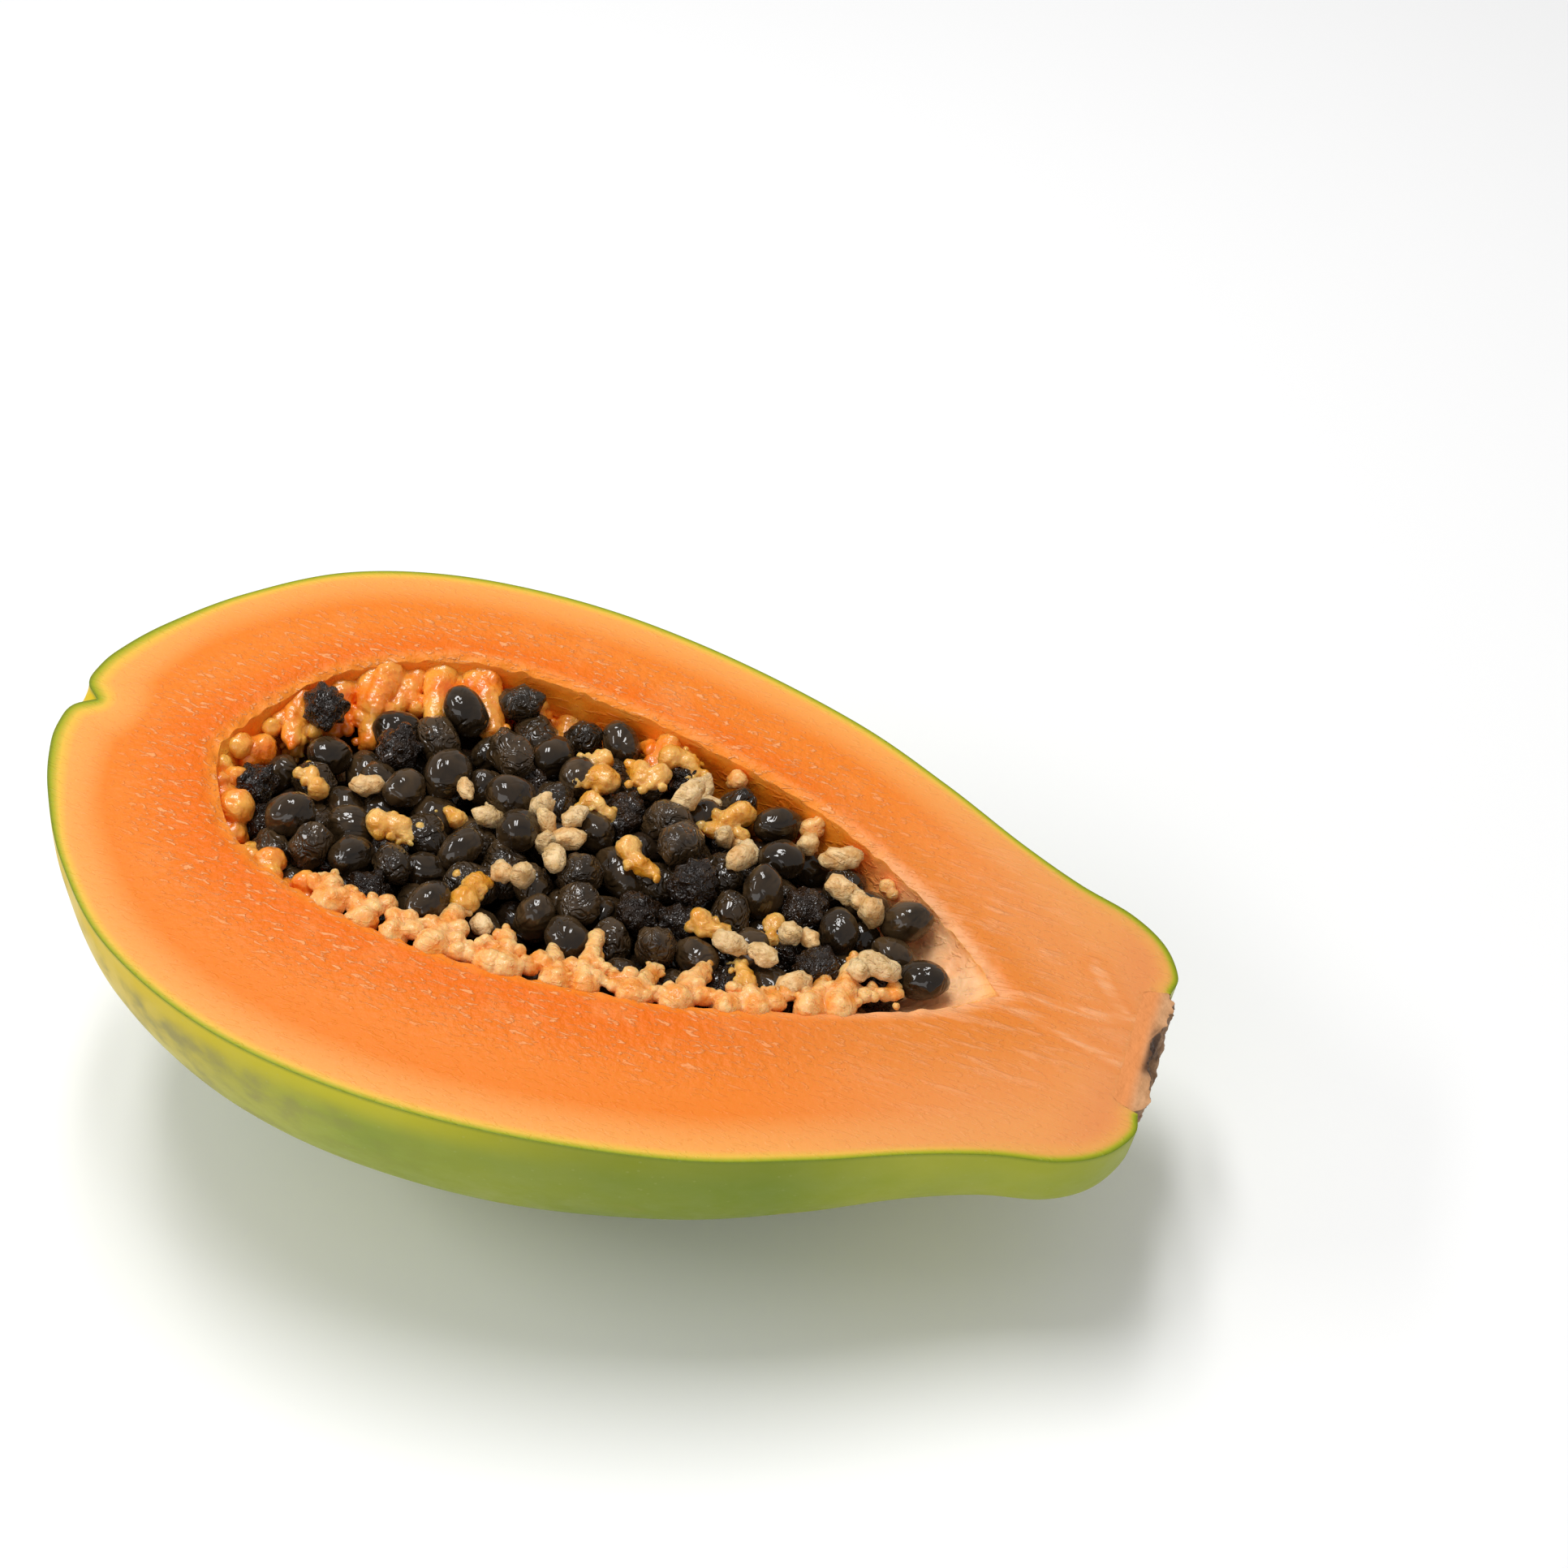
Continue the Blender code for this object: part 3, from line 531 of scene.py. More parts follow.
def green_skin():
    """The skin: waxy green, yellower next to the cut, with grey mottles, pores and tan scuffs."""
    made, tree, shader = new_material(
        "green_skin", 0.45, Subsurface_Weight=0.05, Subsurface_Scale=0.002,
        Subsurface_Radius=(0.6, 0.8, 0.2), Specular_IOR_Level=0.2,
    )
    place = put(tree, "ShaderNodeTexCoord").outputs["Object"]
    mottle = object_noise(tree, 170.0, 5.0)
    pores = put(tree, "ShaderNodeTexVoronoi", {"Vector": place, "Scale": 520.0})
    depth = attribute(tree, "depth")
    along = attribute(tree, "along")
    base = ramp(
        tree,
        object_noise(tree, 26.0, 5.0),
        [(0.3, (0.20, 0.27, 0.008)), (0.5, (0.29, 0.34, 0.018)), (0.7, (0.38, 0.40, 0.035))],
    )
    yellow = both(
        tree, within(tree, depth, 7.0, 0.5), within(tree, along, 150.0, 60.0, 0.15, 0.9)
    )
    colour = mixed(tree, yellow, base, (0.56, 0.50, 0.006, 1.0))
    ripe = both(tree, within(tree, along, 66.0, 20.0), within(tree, depth, 34.0, 4.0))
    colour = tint(tree, colour, ripe, 0.85, (0.70, 0.47, 0.012))
    shade = both(tree, within(tree, along, 66.0, 104.0), within(tree, along, 142.0, 122.0))
    colour = tint(tree, colour, shade, 0.6, (0.12, 0.19, 0.006))
    patch = both(
        tree, within(tree, mottle, 0.40, 0.68), within(tree, along, 92.0, 34.0),
        within(tree, depth, 1.5, 6.0), within(tree, depth, 36.0, 14.0),
    )
    colour = tint(tree, colour, patch, 0.75, (0.25, 0.23, 0.085))
    colour = tint(tree, colour, within(tree, depth, 0.7, 0.0), 0.5, (0.16, 0.22, 0.006))
    speck = within(tree, pores.outputs["Distance"], 0.16, 0.05)
    colour = tint(tree, colour, speck, 0.2, (0.45, 0.47, 0.16))
    scuff = both(tree, within(tree, mottle, 0.64, 0.74), within(tree, depth, 12.0, 24.0))
    colour = tint(tree, colour, scuff, 0.55, (0.40, 0.27, 0.09))
    link(tree, colour, shader, "Base Color")
    link(tree, within(tree, mottle, 0.3, 0.7, 0.36, 0.52), shader, "Roughness")
    bumped(tree, shader, mottle, 0.25, 0.0006)
    return made


fruit = fruit_mesh()
for finish in (green_skin(), cut_flesh(), cavity_flesh()):
    fruit.data.materials.append(finish)
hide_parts("fruit_half")
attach(fruit, "root")


# The pulp strands: soft torn teeth of the tissue that held the seeds, grown on the cavity wall.
# Each is a chain of balls by the same rule as the solids, with smaller balls beside it, and they
# flow together into one ragged surface: pale and granular on the near rim, where it dried, and
# wet and translucent in the far corner of the blossom end.
STRAND_DRAW = 7
NEAR_STRANDS = {"count": 14, "from": 47.0, "to": 127.0, "length": (3.5, 9.5), "width": (1.7, 2.7)}
FAR_STRANDS = {"count": 10, "from": 26.0, "to": 92.0, "length": (2.5, 5.5), "width": (1.9, 3.1)}
CORNER_LUMPS = {"count": 8, "from": 27.0, "to": 52.0, "length": (5.0, 9.5), "width": (2.7, 3.5)}
NEAR_HEIGHT = -1.9
STRAND_BALLS = 4
STRAND_TAPER = 0.16
STRAND_DROOP = 0.12
STRAND_ROOT = 1.7
PULP_VOXEL = 0.0003
END_TISSUE = {"radius": (1.1, 2.9), "in": (0.2, 3.0), "down": (2.6, 6.5)}
WALL_TISSUE = {
    "from": 92.0, "to": 131.0, "step": 0.8, "radius": (0.8, 1.9), "in": (0.3, 2.2),
    "down": (1.6, 4.0),
}
# The near strands stand a little higher and reach further in than the solids'
NEAR_LIFT = 0.45
NEAR_REACH = 1.45
LEDGE = {"from": 45.0, "to": 132.0, "step": 0.7, "radius": (0.5, 1.8)}


def strand(root, direction, length, width):
    """Balls from root to tip along one strand, which narrows and droops a little."""
    step = Vector(direction).normalized() * (length / (STRAND_BALLS - 1))
    return [
        (
            root[0] + step.x * k,
            root[1] + step.y * k,
            root[2] + step.z * k - STRAND_DROOP * k * k,
            width * (1.0 - STRAND_TAPER * k),
        )
        for k in range(STRAND_BALLS)
    ]


def pulp_strands():
    """The strands of pulp on the cavity wall, each a list of (x, y, z, radius) from root to tip."""
    draw = random.Random(STRAND_DRAW)
    strands = []
    for kind in (NEAR_STRANDS, FAR_STRANDS, CORNER_LUMPS):
        for k in range(kind["count"]):
            share = (k + draw.uniform(0.15, 0.85)) / kind["count"]
            x = kind["from"] + (kind["to"] - kind["from"]) * share
            length = draw.uniform(*kind["length"])
            width = draw.uniform(*kind["width"])
            lean = draw.uniform(-0.45, 0.45)
            if kind is NEAR_STRANDS:
                length *= min(1.0, 0.35 + (136.0 - x) / 26.0)
                root = (x, rim_near(x) - STRAND_ROOT, NEAR_HEIGHT)
                direction = (lean, 1.0, draw.uniform(-0.12, 0.22))
            elif kind is FAR_STRANDS:
                down = draw.uniform(3.0, 9.0) * min(1.0, x / 45.0)
                root = (x, rim_far(x) - 0.25 * down + STRAND_ROOT, -down)
                direction = (lean, -1.0, draw.uniform(-0.5, 0.1))
            else:
                down = draw.uniform(4.0, 7.0)
                root = (x, rim_far(x) - 0.25 * down + STRAND_ROOT, -down)
                direction = (lean + 0.4, -1.0, draw.uniform(-0.15, 0.15))
            strands.append(strand(root, direction, length + STRAND_ROOT, width))
    return strands


def geometry_tree(name, inputs):
    """A Geometry Nodes tree with named inputs, and its input and output nodes."""
    tree = bpy.data.node_groups.new(name, "GeometryNodeTree")
    face = tree.interface
    face.new_socket("Geometry", in_out="INPUT", socket_type="NodeSocketGeometry")
    for label, kind in inputs.items():
        face.new_socket(label, in_out="INPUT", socket_type="NodeSocket" + kind)
    face.new_socket("Geometry", in_out="OUTPUT", socket_type="NodeSocketGeometry")
    return tree, put(tree, "NodeGroupInput").outputs, put(tree, "NodeGroupOutput").inputs


def swollen(tree, geometry, amount):
    """The geometry with each point moved along its normal by the amount."""
    normal = made_by(tree, "GeometryNodeInputNormal")
    offset = made_by(
        tree, "ShaderNodeVectorMath", {0: normal, "Scale": amount}, operation="SCALE"
    )
    return made_by(tree, "GeometryNodeSetPosition", {"Geometry": geometry, "Offset": offset})


def dressed(tree, geometry, finish):
    """Realized, and given its material."""
    real = made_by(tree, "GeometryNodeRealizeInstances", {0: geometry})
    return made_by(tree, "GeometryNodeSetMaterial", {"Geometry": real, "Material": finish})


def grown(name, rows, attributes, tree, values, node):
    """The plain mesh that a tree grows from rows of (x, y, z, radius), as a piece of the part."""
    attributes = {"radius": rows[:, 3] * 0.001, **attributes}
    seedbed = mesh_object(name + "_points", lay_down(rows[:, :3]), [], attributes)
    modifier = seedbed.modifiers.new("grow", "NODES")
    modifier.node_group = tree
    for item in tree.interface.items_tree:
        if item.in_out == "INPUT" and item.name in values:
            modifier[item.identifier] = values[item.name]
    bpy.context.view_layer.update()
    graph = bpy.context.evaluated_depsgraph_get()
    mesh = bpy.data.meshes.new_from_object(seedbed.evaluated_get(graph))
    bpy.data.objects.remove(seedbed, do_unlink=True)
    mesh.name = name
    piece = bpy.data.objects.new(name, mesh)
    bpy.context.scene.collection.objects.link(piece)
    piece.data.shade_smooth()
    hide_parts(node)
    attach(piece, "root")


def flowing_pulp_tree():
    """Balls of their own radius flow into one surface of soft tissue, lumpy and granular."""
    tree, given, out = geometry_tree(
        "flowing_pulp",
        {"Voxel": "Float", "Lump": "Float", "Grain": "Float", "Material": "Material"},
    )
    radius = made_by(tree, "GeometryNodeInputNamedAttribute", {0: "radius"}, data_type="FLOAT")
    dots = made_by(tree, "GeometryNodeMeshToPoints", {"Mesh": given[0], "Radius": radius})
    volume = made_by(
        tree,
        "GeometryNodePointsToVolume",
        {"Points": dots, "Voxel Size": given["Voxel"], "Radius": radius},
        resolution_mode="VOXEL_SIZE",
    )
    skin = made_by(tree, "GeometryNodeVolumeToMesh", {"Volume": volume, "Threshold": 0.1})
    lumps = made_by(tree, "ShaderNodeTexNoise", {"Scale": 330.0, "Detail": 2.0})
    grain = made_by(tree, "ShaderNodeTexNoise", {"Scale": 1150.0, "Detail": 1.0})
    coarse = sums(tree, "MULTIPLY", sums(tree, "SUBTRACT", lumps, 0.5), given["Lump"])
    fine = sums(tree, "MULTIPLY", sums(tree, "SUBTRACT", grain, 0.5), given["Grain"])
    moved = swollen(tree, skin, sums(tree, "ADD", coarse, fine))
    tree.links.new(dressed(tree, moved, given["Material"]), out[0])
    return tree


def pulp_flesh(name, dark, light, roughness, coat, grain_height, cloud_scale=330.0):
    """Torn pulp, from its thick and translucent parts to its pale, torn ones."""
    made, tree, shader = new_material(
        name, roughness, Subsurface_Weight=0.45, Subsurface_Scale=0.003,
        Subsurface_Radius=(1.0, 0.45, 0.15), Coat_Weight=coat, Coat_Roughness=0.12,
        Specular_IOR_Level=0.4,
    )
    cloud = object_noise(tree, cloud_scale, 6.0)
    link(tree, ramp(tree, cloud, [(0.38, dark), (0.62, light)]), shader, "Base Color")
    bumped(tree, shader, wet_grain(tree, 1500.0, 1100.0)["Height"], grain_height, 0.0005)
    return made


def pulp(name, rows, lump, grain, finish, node):
    """A piece of pulp, grown from rows of balls."""
    values = {"Voxel": PULP_VOXEL, "Lump": lump, "Grain": grain, "Material": finish}
    grown(name, np.array(rows), {}, FLOWING_PULP, values, node)


def ragged(chain, draw, beside, spread):
    """More balls between a chain's balls, so that they flow together, and small ones beside it."""
    rows = []
    for a, b in zip(chain, chain[1:]):
        for share in (0.0, 0.2, 0.4, 0.6, 0.8):
            rows.append([(1 - share) * p + share * q for p, q in zip(a, b)])
        for _ in range(beside):
            heading, reach = draw.uniform(0.0, 2 * math.pi), b[3] * draw.uniform(0.6, spread)
            radius = b[3] * draw.uniform(0.35, 0.7)
            beside_y = b[1] + 0.8 * reach * math.sin(heading)
            if rim_near(b[0]) + 0.5 * radius < beside_y < rim_far(b[0]) - 0.5 * radius:
                height = b[2] + draw.uniform(-1.0, 0.4)
                rows.append([b[0] + reach * math.cos(heading), beside_y, height, radius])
    return rows + [list(chain[-1])]


def ledge_balls(draw):
    """The torn edge that joins the near strands along the rim, broken here and there."""
    rows = []
    for x in np.arange(LEDGE["from"], LEDGE["to"], LEDGE["step"]):
        if noise.noise(Vector((x / 4.0, 3.0, 0.0))) < -0.22:
            continue
        radius = draw.uniform(*LEDGE["radius"])
        y = rim_near(x) + 0.75 * radius + draw.uniform(-0.2, 2.6)
        rows.append([x, y, draw.uniform(-0.5, 0.1) - radius, radius])
    return rows


def end_tissue(draw):
    """The torn tissue round the blossom end of the cavity, that the seeds there are bedded in."""
    turn = np.concatenate([NEAR_CURVE[NEAR_CURVE[:, 0] < 48.0][::-1], FAR_CURVE[1:40]])
    middle = Vector((52.0, 4.0))
    rows = []
    for x, y in turn[::2]:
        if noise.noise(Vector((x / 3.0, y / 3.0, 7.0))) < -0.05:
            continue
        inwards = (middle - Vector((x, y))).normalized()
        radius = draw.uniform(*END_TISSUE["radius"])
        place = Vector((x, y)) + inwards * draw.uniform(*END_TISSUE["in"])
        rows.append([place.x, place.y, -draw.uniform(*END_TISSUE["down"]), radius])
    return rows


def wall_tissue(draw):
    """Torn tissue between the seeds and the far wall, towards the tip, broken here and there."""
    rows = []
    for x in np.arange(WALL_TISSUE["from"], WALL_TISSUE["to"], WALL_TISSUE["step"]):
        radius = draw.uniform(*WALL_TISSUE["radius"])
        if noise.noise(Vector((x / 3.5, 9.0, 0.0))) > 0.12:
            y = rim_far(x) - draw.uniform(*WALL_TISSUE["in"])
            rows.append([x, y, -draw.uniform(*WALL_TISSUE["down"]), radius])
    return rows


FLOWING_PULP = flowing_pulp_tree()
strands = pulp_strands()
draw = random.Random(STRAND_DRAW + 1)
near_rows = [
    row for chain in strands[:NEAR_STRANDS["count"]] for row in ragged(chain, draw, 4, 1.15)
]
near_rows = np.array(near_rows + ledge_balls(draw))
near_rows[:, 2] += NEAR_LIFT
rim = rim_near(near_rows[:, 0])
reach = NEAR_REACH * (near_rows[:, 1] - rim)
near_rows[:, 1] = rim + np.maximum(reach, 0.5 * near_rows[:, 3])
near_rows = np.concatenate([near_rows, wall_tissue(draw)])
pulp(
    "near_pulp", near_rows, 0.0014, 0.0003,
    pulp_flesh("dried_pulp", (0.90, 0.31, 0.040), (0.95, 0.53, 0.20), 0.38, 0.25, 0.6),
    "fruit_half",
)
far_rows = [
    row for chain in strands[NEAR_STRANDS["count"]:] for row in ragged(chain, draw, 5, 1.8)
]
far_rows += end_tissue(draw)
pulp(
    "far_pulp", far_rows, 0.0016, 0.0002,
    pulp_flesh("wet_wall_pulp", (0.93, 0.19, 0.004), (0.96, 0.42, 0.06), 0.25, 0.6, 0.3, 150.0),
    "fruit_half",
)


# The seeds: dark grains in wet clear coats, which fill the cavity and were never fixed to more
# than the thin strands. They lie where a seed dropped in would come to rest, from the floor up.
SEED_RADIUS = 3.05
SEED_SPREAD = 0.35
HEAP_DRAW = 43
HEAP_SPAN = ((24.0, 136.0), (-24.0, 34.0))
HEAP_TOP = -1.7
HEAP_CROWN = {"height": 1.6, "x": 98.0, "y": 4.0, "long": 34.0, "wide": 14.0}
HEAP_HOLLOW = {"depth": 2.4, "x": (54.0, 28.0), "y": (-6.0, 12.0)}
HEAP_AT_FAR_WALL = {"depth": 0.8, "reach": 9.0}
TOUCH_RINGS = [(0.0, 1), (0.5, 8), (0.8, 12), (0.97, 16)]
HEAP_CLEARANCE = 0.9
HEAP_TRIES = 900
HEAP_MOST = 420
PLACED_SEEDS = [
    (134.0, 0.4), (128.3, -2.2), (128.8, 4.6), (31.8, -7.4), (33.4, 1.2), (28.4, -1.8),
    (32.6, 14.0),
]
PULP_BITS = {"count": 14, "radius": 2.1, "span": ((28.0, 112.0), (-18.0, 28.0))}
UNFORMED_SEEDS = {"count": 26, "radius": 1.6, "span": ((30.0, 130.0), (-20.0, 28.0))}
LOOSE_TRIES = 7
SEED_SWELL = 1.11
SMOOTH_SHARE = 0.5
DRIED_SHARE = 0.12
# Seeds this far under the top of the heap are simpler and painted a darker brown as shade, and
# further down they are left out
DEEP = 6.5
HIDDEN = 16.0
DRIED_SEEDS = [(28.4, -1.8), (32.6, 14.0), (31.8, -7.4), (128.3, -2.2)]


def heap_top(x, y):
    """How high a seed's centre may lie: near level, but hollow in the blossom end's far corner."""
    crown, hollow, wall = HEAP_CROWN, HEAP_HOLLOW, HEAP_AT_FAR_WALL
    off_x, off_y = (x - crown["x"]) / crown["long"], (y - crown["y"]) / crown["wide"]
    corner = np.interp(-x, [-v for v in hollow["x"]], [0.0, 1.0])
    corner = corner * np.interp(y, hollow["y"], [0.0, 1.0])
    at_wall = np.clip(1.0 - (rim_far(x) - y) / wall["reach"], 0.0, 1.0)
    top = HEAP_TOP + crown["height"] * np.exp(-(off_x ** 2) - off_y ** 2)
    return top - hollow["depth"] * corner - wall["depth"] * at_wall


def resting_height(x, y, radius, balls):
    """Where a ball dropped at each (x, y) comes to rest on the cavity wall or on other balls."""
    reach = radius + HEAP_CLEARANCE
    height = np.full(x.shape, -1e3)
    for ring, turns in TOUCH_RINGS:
        for k in range(turns):
            angle = 2 * math.pi * k / turns
            under = cavity_floor(
                x + ring * reach * math.cos(angle), y + ring * reach * math.sin(angle)
            )
            height = np.maximum(height, under + reach * math.sqrt(1.0 - ring * ring))
    apart = (x[:, None] - balls[:, 0]) ** 2 + (y[:, None] - balls[:, 1]) ** 2
    touch = (radius + balls[:, 3]) ** 2
    on_ball = np.where(apart < touch, balls[:, 2] + np.sqrt(np.maximum(touch - apart, 0)), -1e3)
    return np.maximum(height, on_ball.max(axis=1))


def drop(draw, radius, balls, tries, span):
    """The lowest of a few places where a ball can come to rest, against the heap's top there."""
    x = np.array([draw.uniform(*span[0]) for _ in range(tries)])
    y = np.array([draw.uniform(*span[1]) for _ in range(tries)])
    height = resting_height(x, y, radius, balls)
    over = height - heap_top(x, y)
    over = np.where((y < rim_near(x) + radius) | (y > rim_far(x) - radius), 1e3, over)
    best = int(np.argmin(over))
    return x[best], y[best], height[best], over[best]


def seed_heap():
    """Seeds, pulp bits and pale unformed seeds, each as rows of (x, y, z, radius)."""
    draw = random.Random(HEAP_DRAW)
    balls = [ball for one in pulp_strands() for ball in one]
    seeds, bits, unformed = [], [], []
    for x, y in PLACED_SEEDS:
        height = resting_height(np.array([x]), np.array([y]), SEED_RADIUS, np.array(balls))
        seeds.append((x, y, height[0], SEED_RADIUS))
        balls.append(seeds[-1])
    for _ in range(HEAP_MOST):
        radius = SEED_RADIUS + draw.uniform(-SEED_SPREAD, SEED_SPREAD)
        x, y, z, over = drop(draw, radius, np.array(balls), HEAP_TRIES, HEAP_SPAN)
        if over > 0:
            break
        seeds.append((x, y, z, radius))
        balls.append(seeds[-1])
    for kind, found in ((PULP_BITS, bits), (UNFORMED_SEEDS, unformed)):
        for _ in range(kind["count"]):
            radius = kind["radius"] * draw.uniform(0.8, 1.2)
            x, y, z, _over = drop(draw, radius, np.array(balls), LOOSE_TRIES, kind["span"])
            found.append((x, y, z, radius))
            balls.append(found[-1])
    return seeds, bits, unformed


def scattered_tree():
    """A round body on each point, turned and stretched its own way, with creases pressed in."""
    tree, given, out = geometry_tree(
        "scattered_round_bodies",
        {"Rounds": "Int", "Crease": "Float", "Crease Scale": "Float", "Material": "Material"},
    )

    turn, stretch = (
        made_by(tree, "GeometryNodeInputNamedAttribute", {0: key}, data_type="FLOAT_VECTOR")
        for key in ("turn", "stretch")
    )
    body = made_by(
        tree, "GeometryNodeMeshIcoSphere", {"Radius": 1.0, "Subdivisions": given["Rounds"]}
    )
    dots = made_by(tree, "GeometryNodeMeshToPoints", {"Mesh": given[0]})
    placed = made_by(
        tree,
        "GeometryNodeInstanceOnPoints",
        {"Points": dots, "Instance": body, "Rotation": turn, "Scale": stretch},
    )
    real = made_by(tree, "GeometryNodeRealizeInstances", {0: placed})
    folds = made_by(tree, "ShaderNodeTexNoise", {"Scale": given["Crease Scale"], "Detail": 1.0})
    fold = sums(tree, "ABSOLUTE", sums(tree, "SUBTRACT", folds, 0.5))
    amount = sums(tree, "MULTIPLY", sums(tree, "SUBTRACT", fold, 0.1), given["Crease"])
    tree.links.new(dressed(tree, swollen(tree, real, amount), given["Material"]), out[0])
    return tree


SCATTERED = scattered_tree()


def scattered(
    name, rows, draw, stretch, finish, rounds=3, crease=0.0, crease_scale=400.0, swell=SEED_SWELL
):
    """One piece of many round bodies, each with its own turn, proportions and tone."""
    turns, sizes = [], []
    for row in rows:
        turns.append([draw.uniform(0.0, 2 * math.pi) for _ in range(3)])
        long = draw.uniform(*stretch)
        wide = draw.uniform(0.94, 1.06) / long ** 0.4
        ball = row[3] * 0.001 * swell
        sizes.append([ball * share for share in (wide, 1.0 / (wide * long) ** 0.5, long)])
    grown(
        name, np.array(rows),
        {"turn": turns, "stretch": sizes, "tone": [draw.random() for _ in rows]},
        SCATTERED,
        {"Rounds": rounds, "Crease": crease, "Crease Scale": crease_scale, "Material": finish},
        "seed_heap",
    )


def seed_coat(name, dark, light, roughness, fold_scale, fold_height, coat_folds=0.4):
    """A seed in its coat: near black inside, brown in patches of its own tone, and a painted brown
    rim light at its edge for light caught in the clear coat.
    """
    made, tree, shader = new_material(
        name, roughness, Coat_Weight=1.0, Coat_Roughness=0.04, Coat_IOR=1.5,
        Specular_IOR_Level=0.0,
    )
    place = put(tree, "ShaderNodeTexCoord").outputs["Object"]
    tone = attribute(tree, "tone")
    # Painted rim light: the base colour turns brown where the surface faces away from the camera,
    # for light caught in the clear coat; the seed's own tone and mottling add to it
    edge = put(tree, "ShaderNodeLayerWeight", {"Blend": 0.35}).outputs["Facing"]
    tone_and_painted_rim = sums(tree, "MULTIPLY_ADD", edge, 0.75, sums(tree, "MULTIPLY", tone, 0.35))
    tone_and_painted_rim = both(tree, tone_and_painted_rim, within(tree, object_noise(tree, 380.0, 4.0), 0.3, 0.62, 0.25, 1.0))
    link(tree, mixed(tree, tone_and_painted_rim, (*dark, 1.0), (*light, 1.0)), shader, "Base Color")
    folds = made_by(
        tree, "ShaderNodeTexNoise",
        {"Vector": place, "Scale": fold_scale, "Detail": 2.0, "Distortion": 0.8},
    )
    ridge = sums(tree, "ABSOLUTE", sums(tree, "SUBTRACT", folds, 0.5))
    height = within(tree, ridge, 0.0, 0.14)
    for socket, share in (("Normal", 1.0), ("Coat Normal", coat_folds)):
        inputs = {"Height": height, "Strength": fold_height * share, "Distance": 0.0003}
        link(tree, made_by(tree, "ShaderNodeBump", inputs), shader, socket)
    return made


seed_rows, bit_rows, unformed_rows = seed_heap()
kinds = {"smooth_seeds": [], "puckered_seeds": [], "dried_seeds": [], "deep_seeds": []}
draw = random.Random(HEAP_DRAW + 2)
for row in seed_rows:
    under = float(heap_top(*row[:2])) - row[2]
    chance = draw.random()
    if under >= DEEP:
        kind = "deep_seeds"
    elif chance > 1.0 - DRIED_SHARE or row[:2] in DRIED_SEEDS:
        kind = "dried_seeds"
    else:
        kind = "smooth_seeds" if chance < SMOOTH_SHARE else "puckered_seeds"
    if under < HIDDEN:
        kinds[kind].append(row)
BLACK, BROWN = (0.012, 0.007, 0.003), (0.13, 0.075, 0.032)
LONG_SEED = (1.1, 1.35)
scattered(
    "smooth_seeds", kinds["smooth_seeds"], draw, LONG_SEED,
    seed_coat("smooth_seed", BLACK, BROWN, 0.3, 210.0, 0.9),
    crease=0.0020, crease_scale=210.0,
)
scattered(
    "puckered_seeds", kinds["puckered_seeds"], draw, LONG_SEED,
    seed_coat("puckered_seed", BLACK, BROWN, 0.35, 420.0, 1.0, 0.8),
    crease=0.0034, crease_scale=340.0,
)
scattered(
    "dried_seeds", kinds["dried_seeds"], draw, (1.0, 1.15),
    seed_coat("dried_seed", (0.008, 0.004, 0.002), (0.05, 0.024, 0.010), 0.4, 800.0, 1.0, 1.0),
    rounds=4, crease=0.0058, crease_scale=380.0,
)
# The deep seeds' coat is painted a darker brown, as the shade that falls on them under the top
# seeds
scattered(
    "deep_seeds", kinds["deep_seeds"], draw, (1.05, 1.2),
    seed_coat("deep_seed", BLACK, (0.06, 0.035, 0.02), 0.35, 400.0, 0.6), rounds=2,
)


# The unformed seeds: small pale grains, dry and knobbly, that never filled.
# They lie singly or in pairs among the dark seeds.
def unformed_coat():
    made, tree, shader = new_material(
        "unformed_seed", 0.5, Subsurface_Weight=0.3, Subsurface_Scale=0.0015,
        Subsurface_Radius=(1.0, 0.7, 0.4), Coat_Weight=0.1, Coat_Roughness=0.3,
    )
    cloud = object_noise(tree, 600.0, 4.0)
    pale = ramp(tree, cloud, [(0.35, (0.62, 0.38, 0.14)), (0.62, (0.88, 0.62, 0.32))])
    warm = ramp(tree, cloud, [(0.35, (0.66, 0.34, 0.10)), (0.62, (0.84, 0.56, 0.26))])
    colour = mixed(tree, within(tree, attribute(tree, "tone"), 0.4, 0.7), pale, warm)
    link(tree, colour, shader, "Base Color")
    bumped(tree, shader, wet_grain(tree, 1600.0, 1200.0)["Height"], 0.8, 0.0005)
    return made


def paired(rows, draw):
    """Every third grain has a smaller one grown against it."""
    found = list(rows)
    for x, y, z, radius in rows[::3]:
        heading = draw.uniform(0.0, 2 * math.pi)
        reach = radius * 1.7
        found.append(
            (x + reach * math.cos(heading), y + reach * math.sin(heading), z - 0.4, radius * 0.8)
        )
    return found


draw = random.Random(HEAP_DRAW + 3)
scattered(
    "unformed_seeds", paired(unformed_rows, draw), draw, (1.25, 1.7), unformed_coat(),
    crease=0.0026, crease_scale=560.0, swell=1.2,
)


# The loose pulp: wet orange-yellow scraps of the same tissue, torn off and lying on the seeds.
BIT_SINKS = 0.9


def scrap_rows(rows, draw):
    """Each scrap is a crooked row of balls with small ones beside it."""
    found = []
    for x, y, z, radius in rows:
        heading = draw.uniform(0.0, 2 * math.pi)
        z -= BIT_SINKS
        chain = [(x, y, z, radius * 0.85)]
        reach = radius * 0.75
        for k in range(3):
            x += reach * math.cos(heading)
            y += reach * math.sin(heading)
            z -= 0.25 * k
            chain.append((x, y, z, radius * draw.uniform(0.45, 0.8)))
            heading += draw.uniform(-1.2, 1.2)
        found += ragged(chain, draw, 5, 2.0)
    return found


pulp(
    "pulp_bits", scrap_rows(bit_rows, random.Random(HEAP_DRAW + 4)), 0.0020, 0.0003,
    pulp_flesh("loose_pulp", (0.74, 0.30, 0.015), (0.90, 0.50, 0.14), 0.3, 0.5, 0.4, 200.0),
    "seed_heap",
)
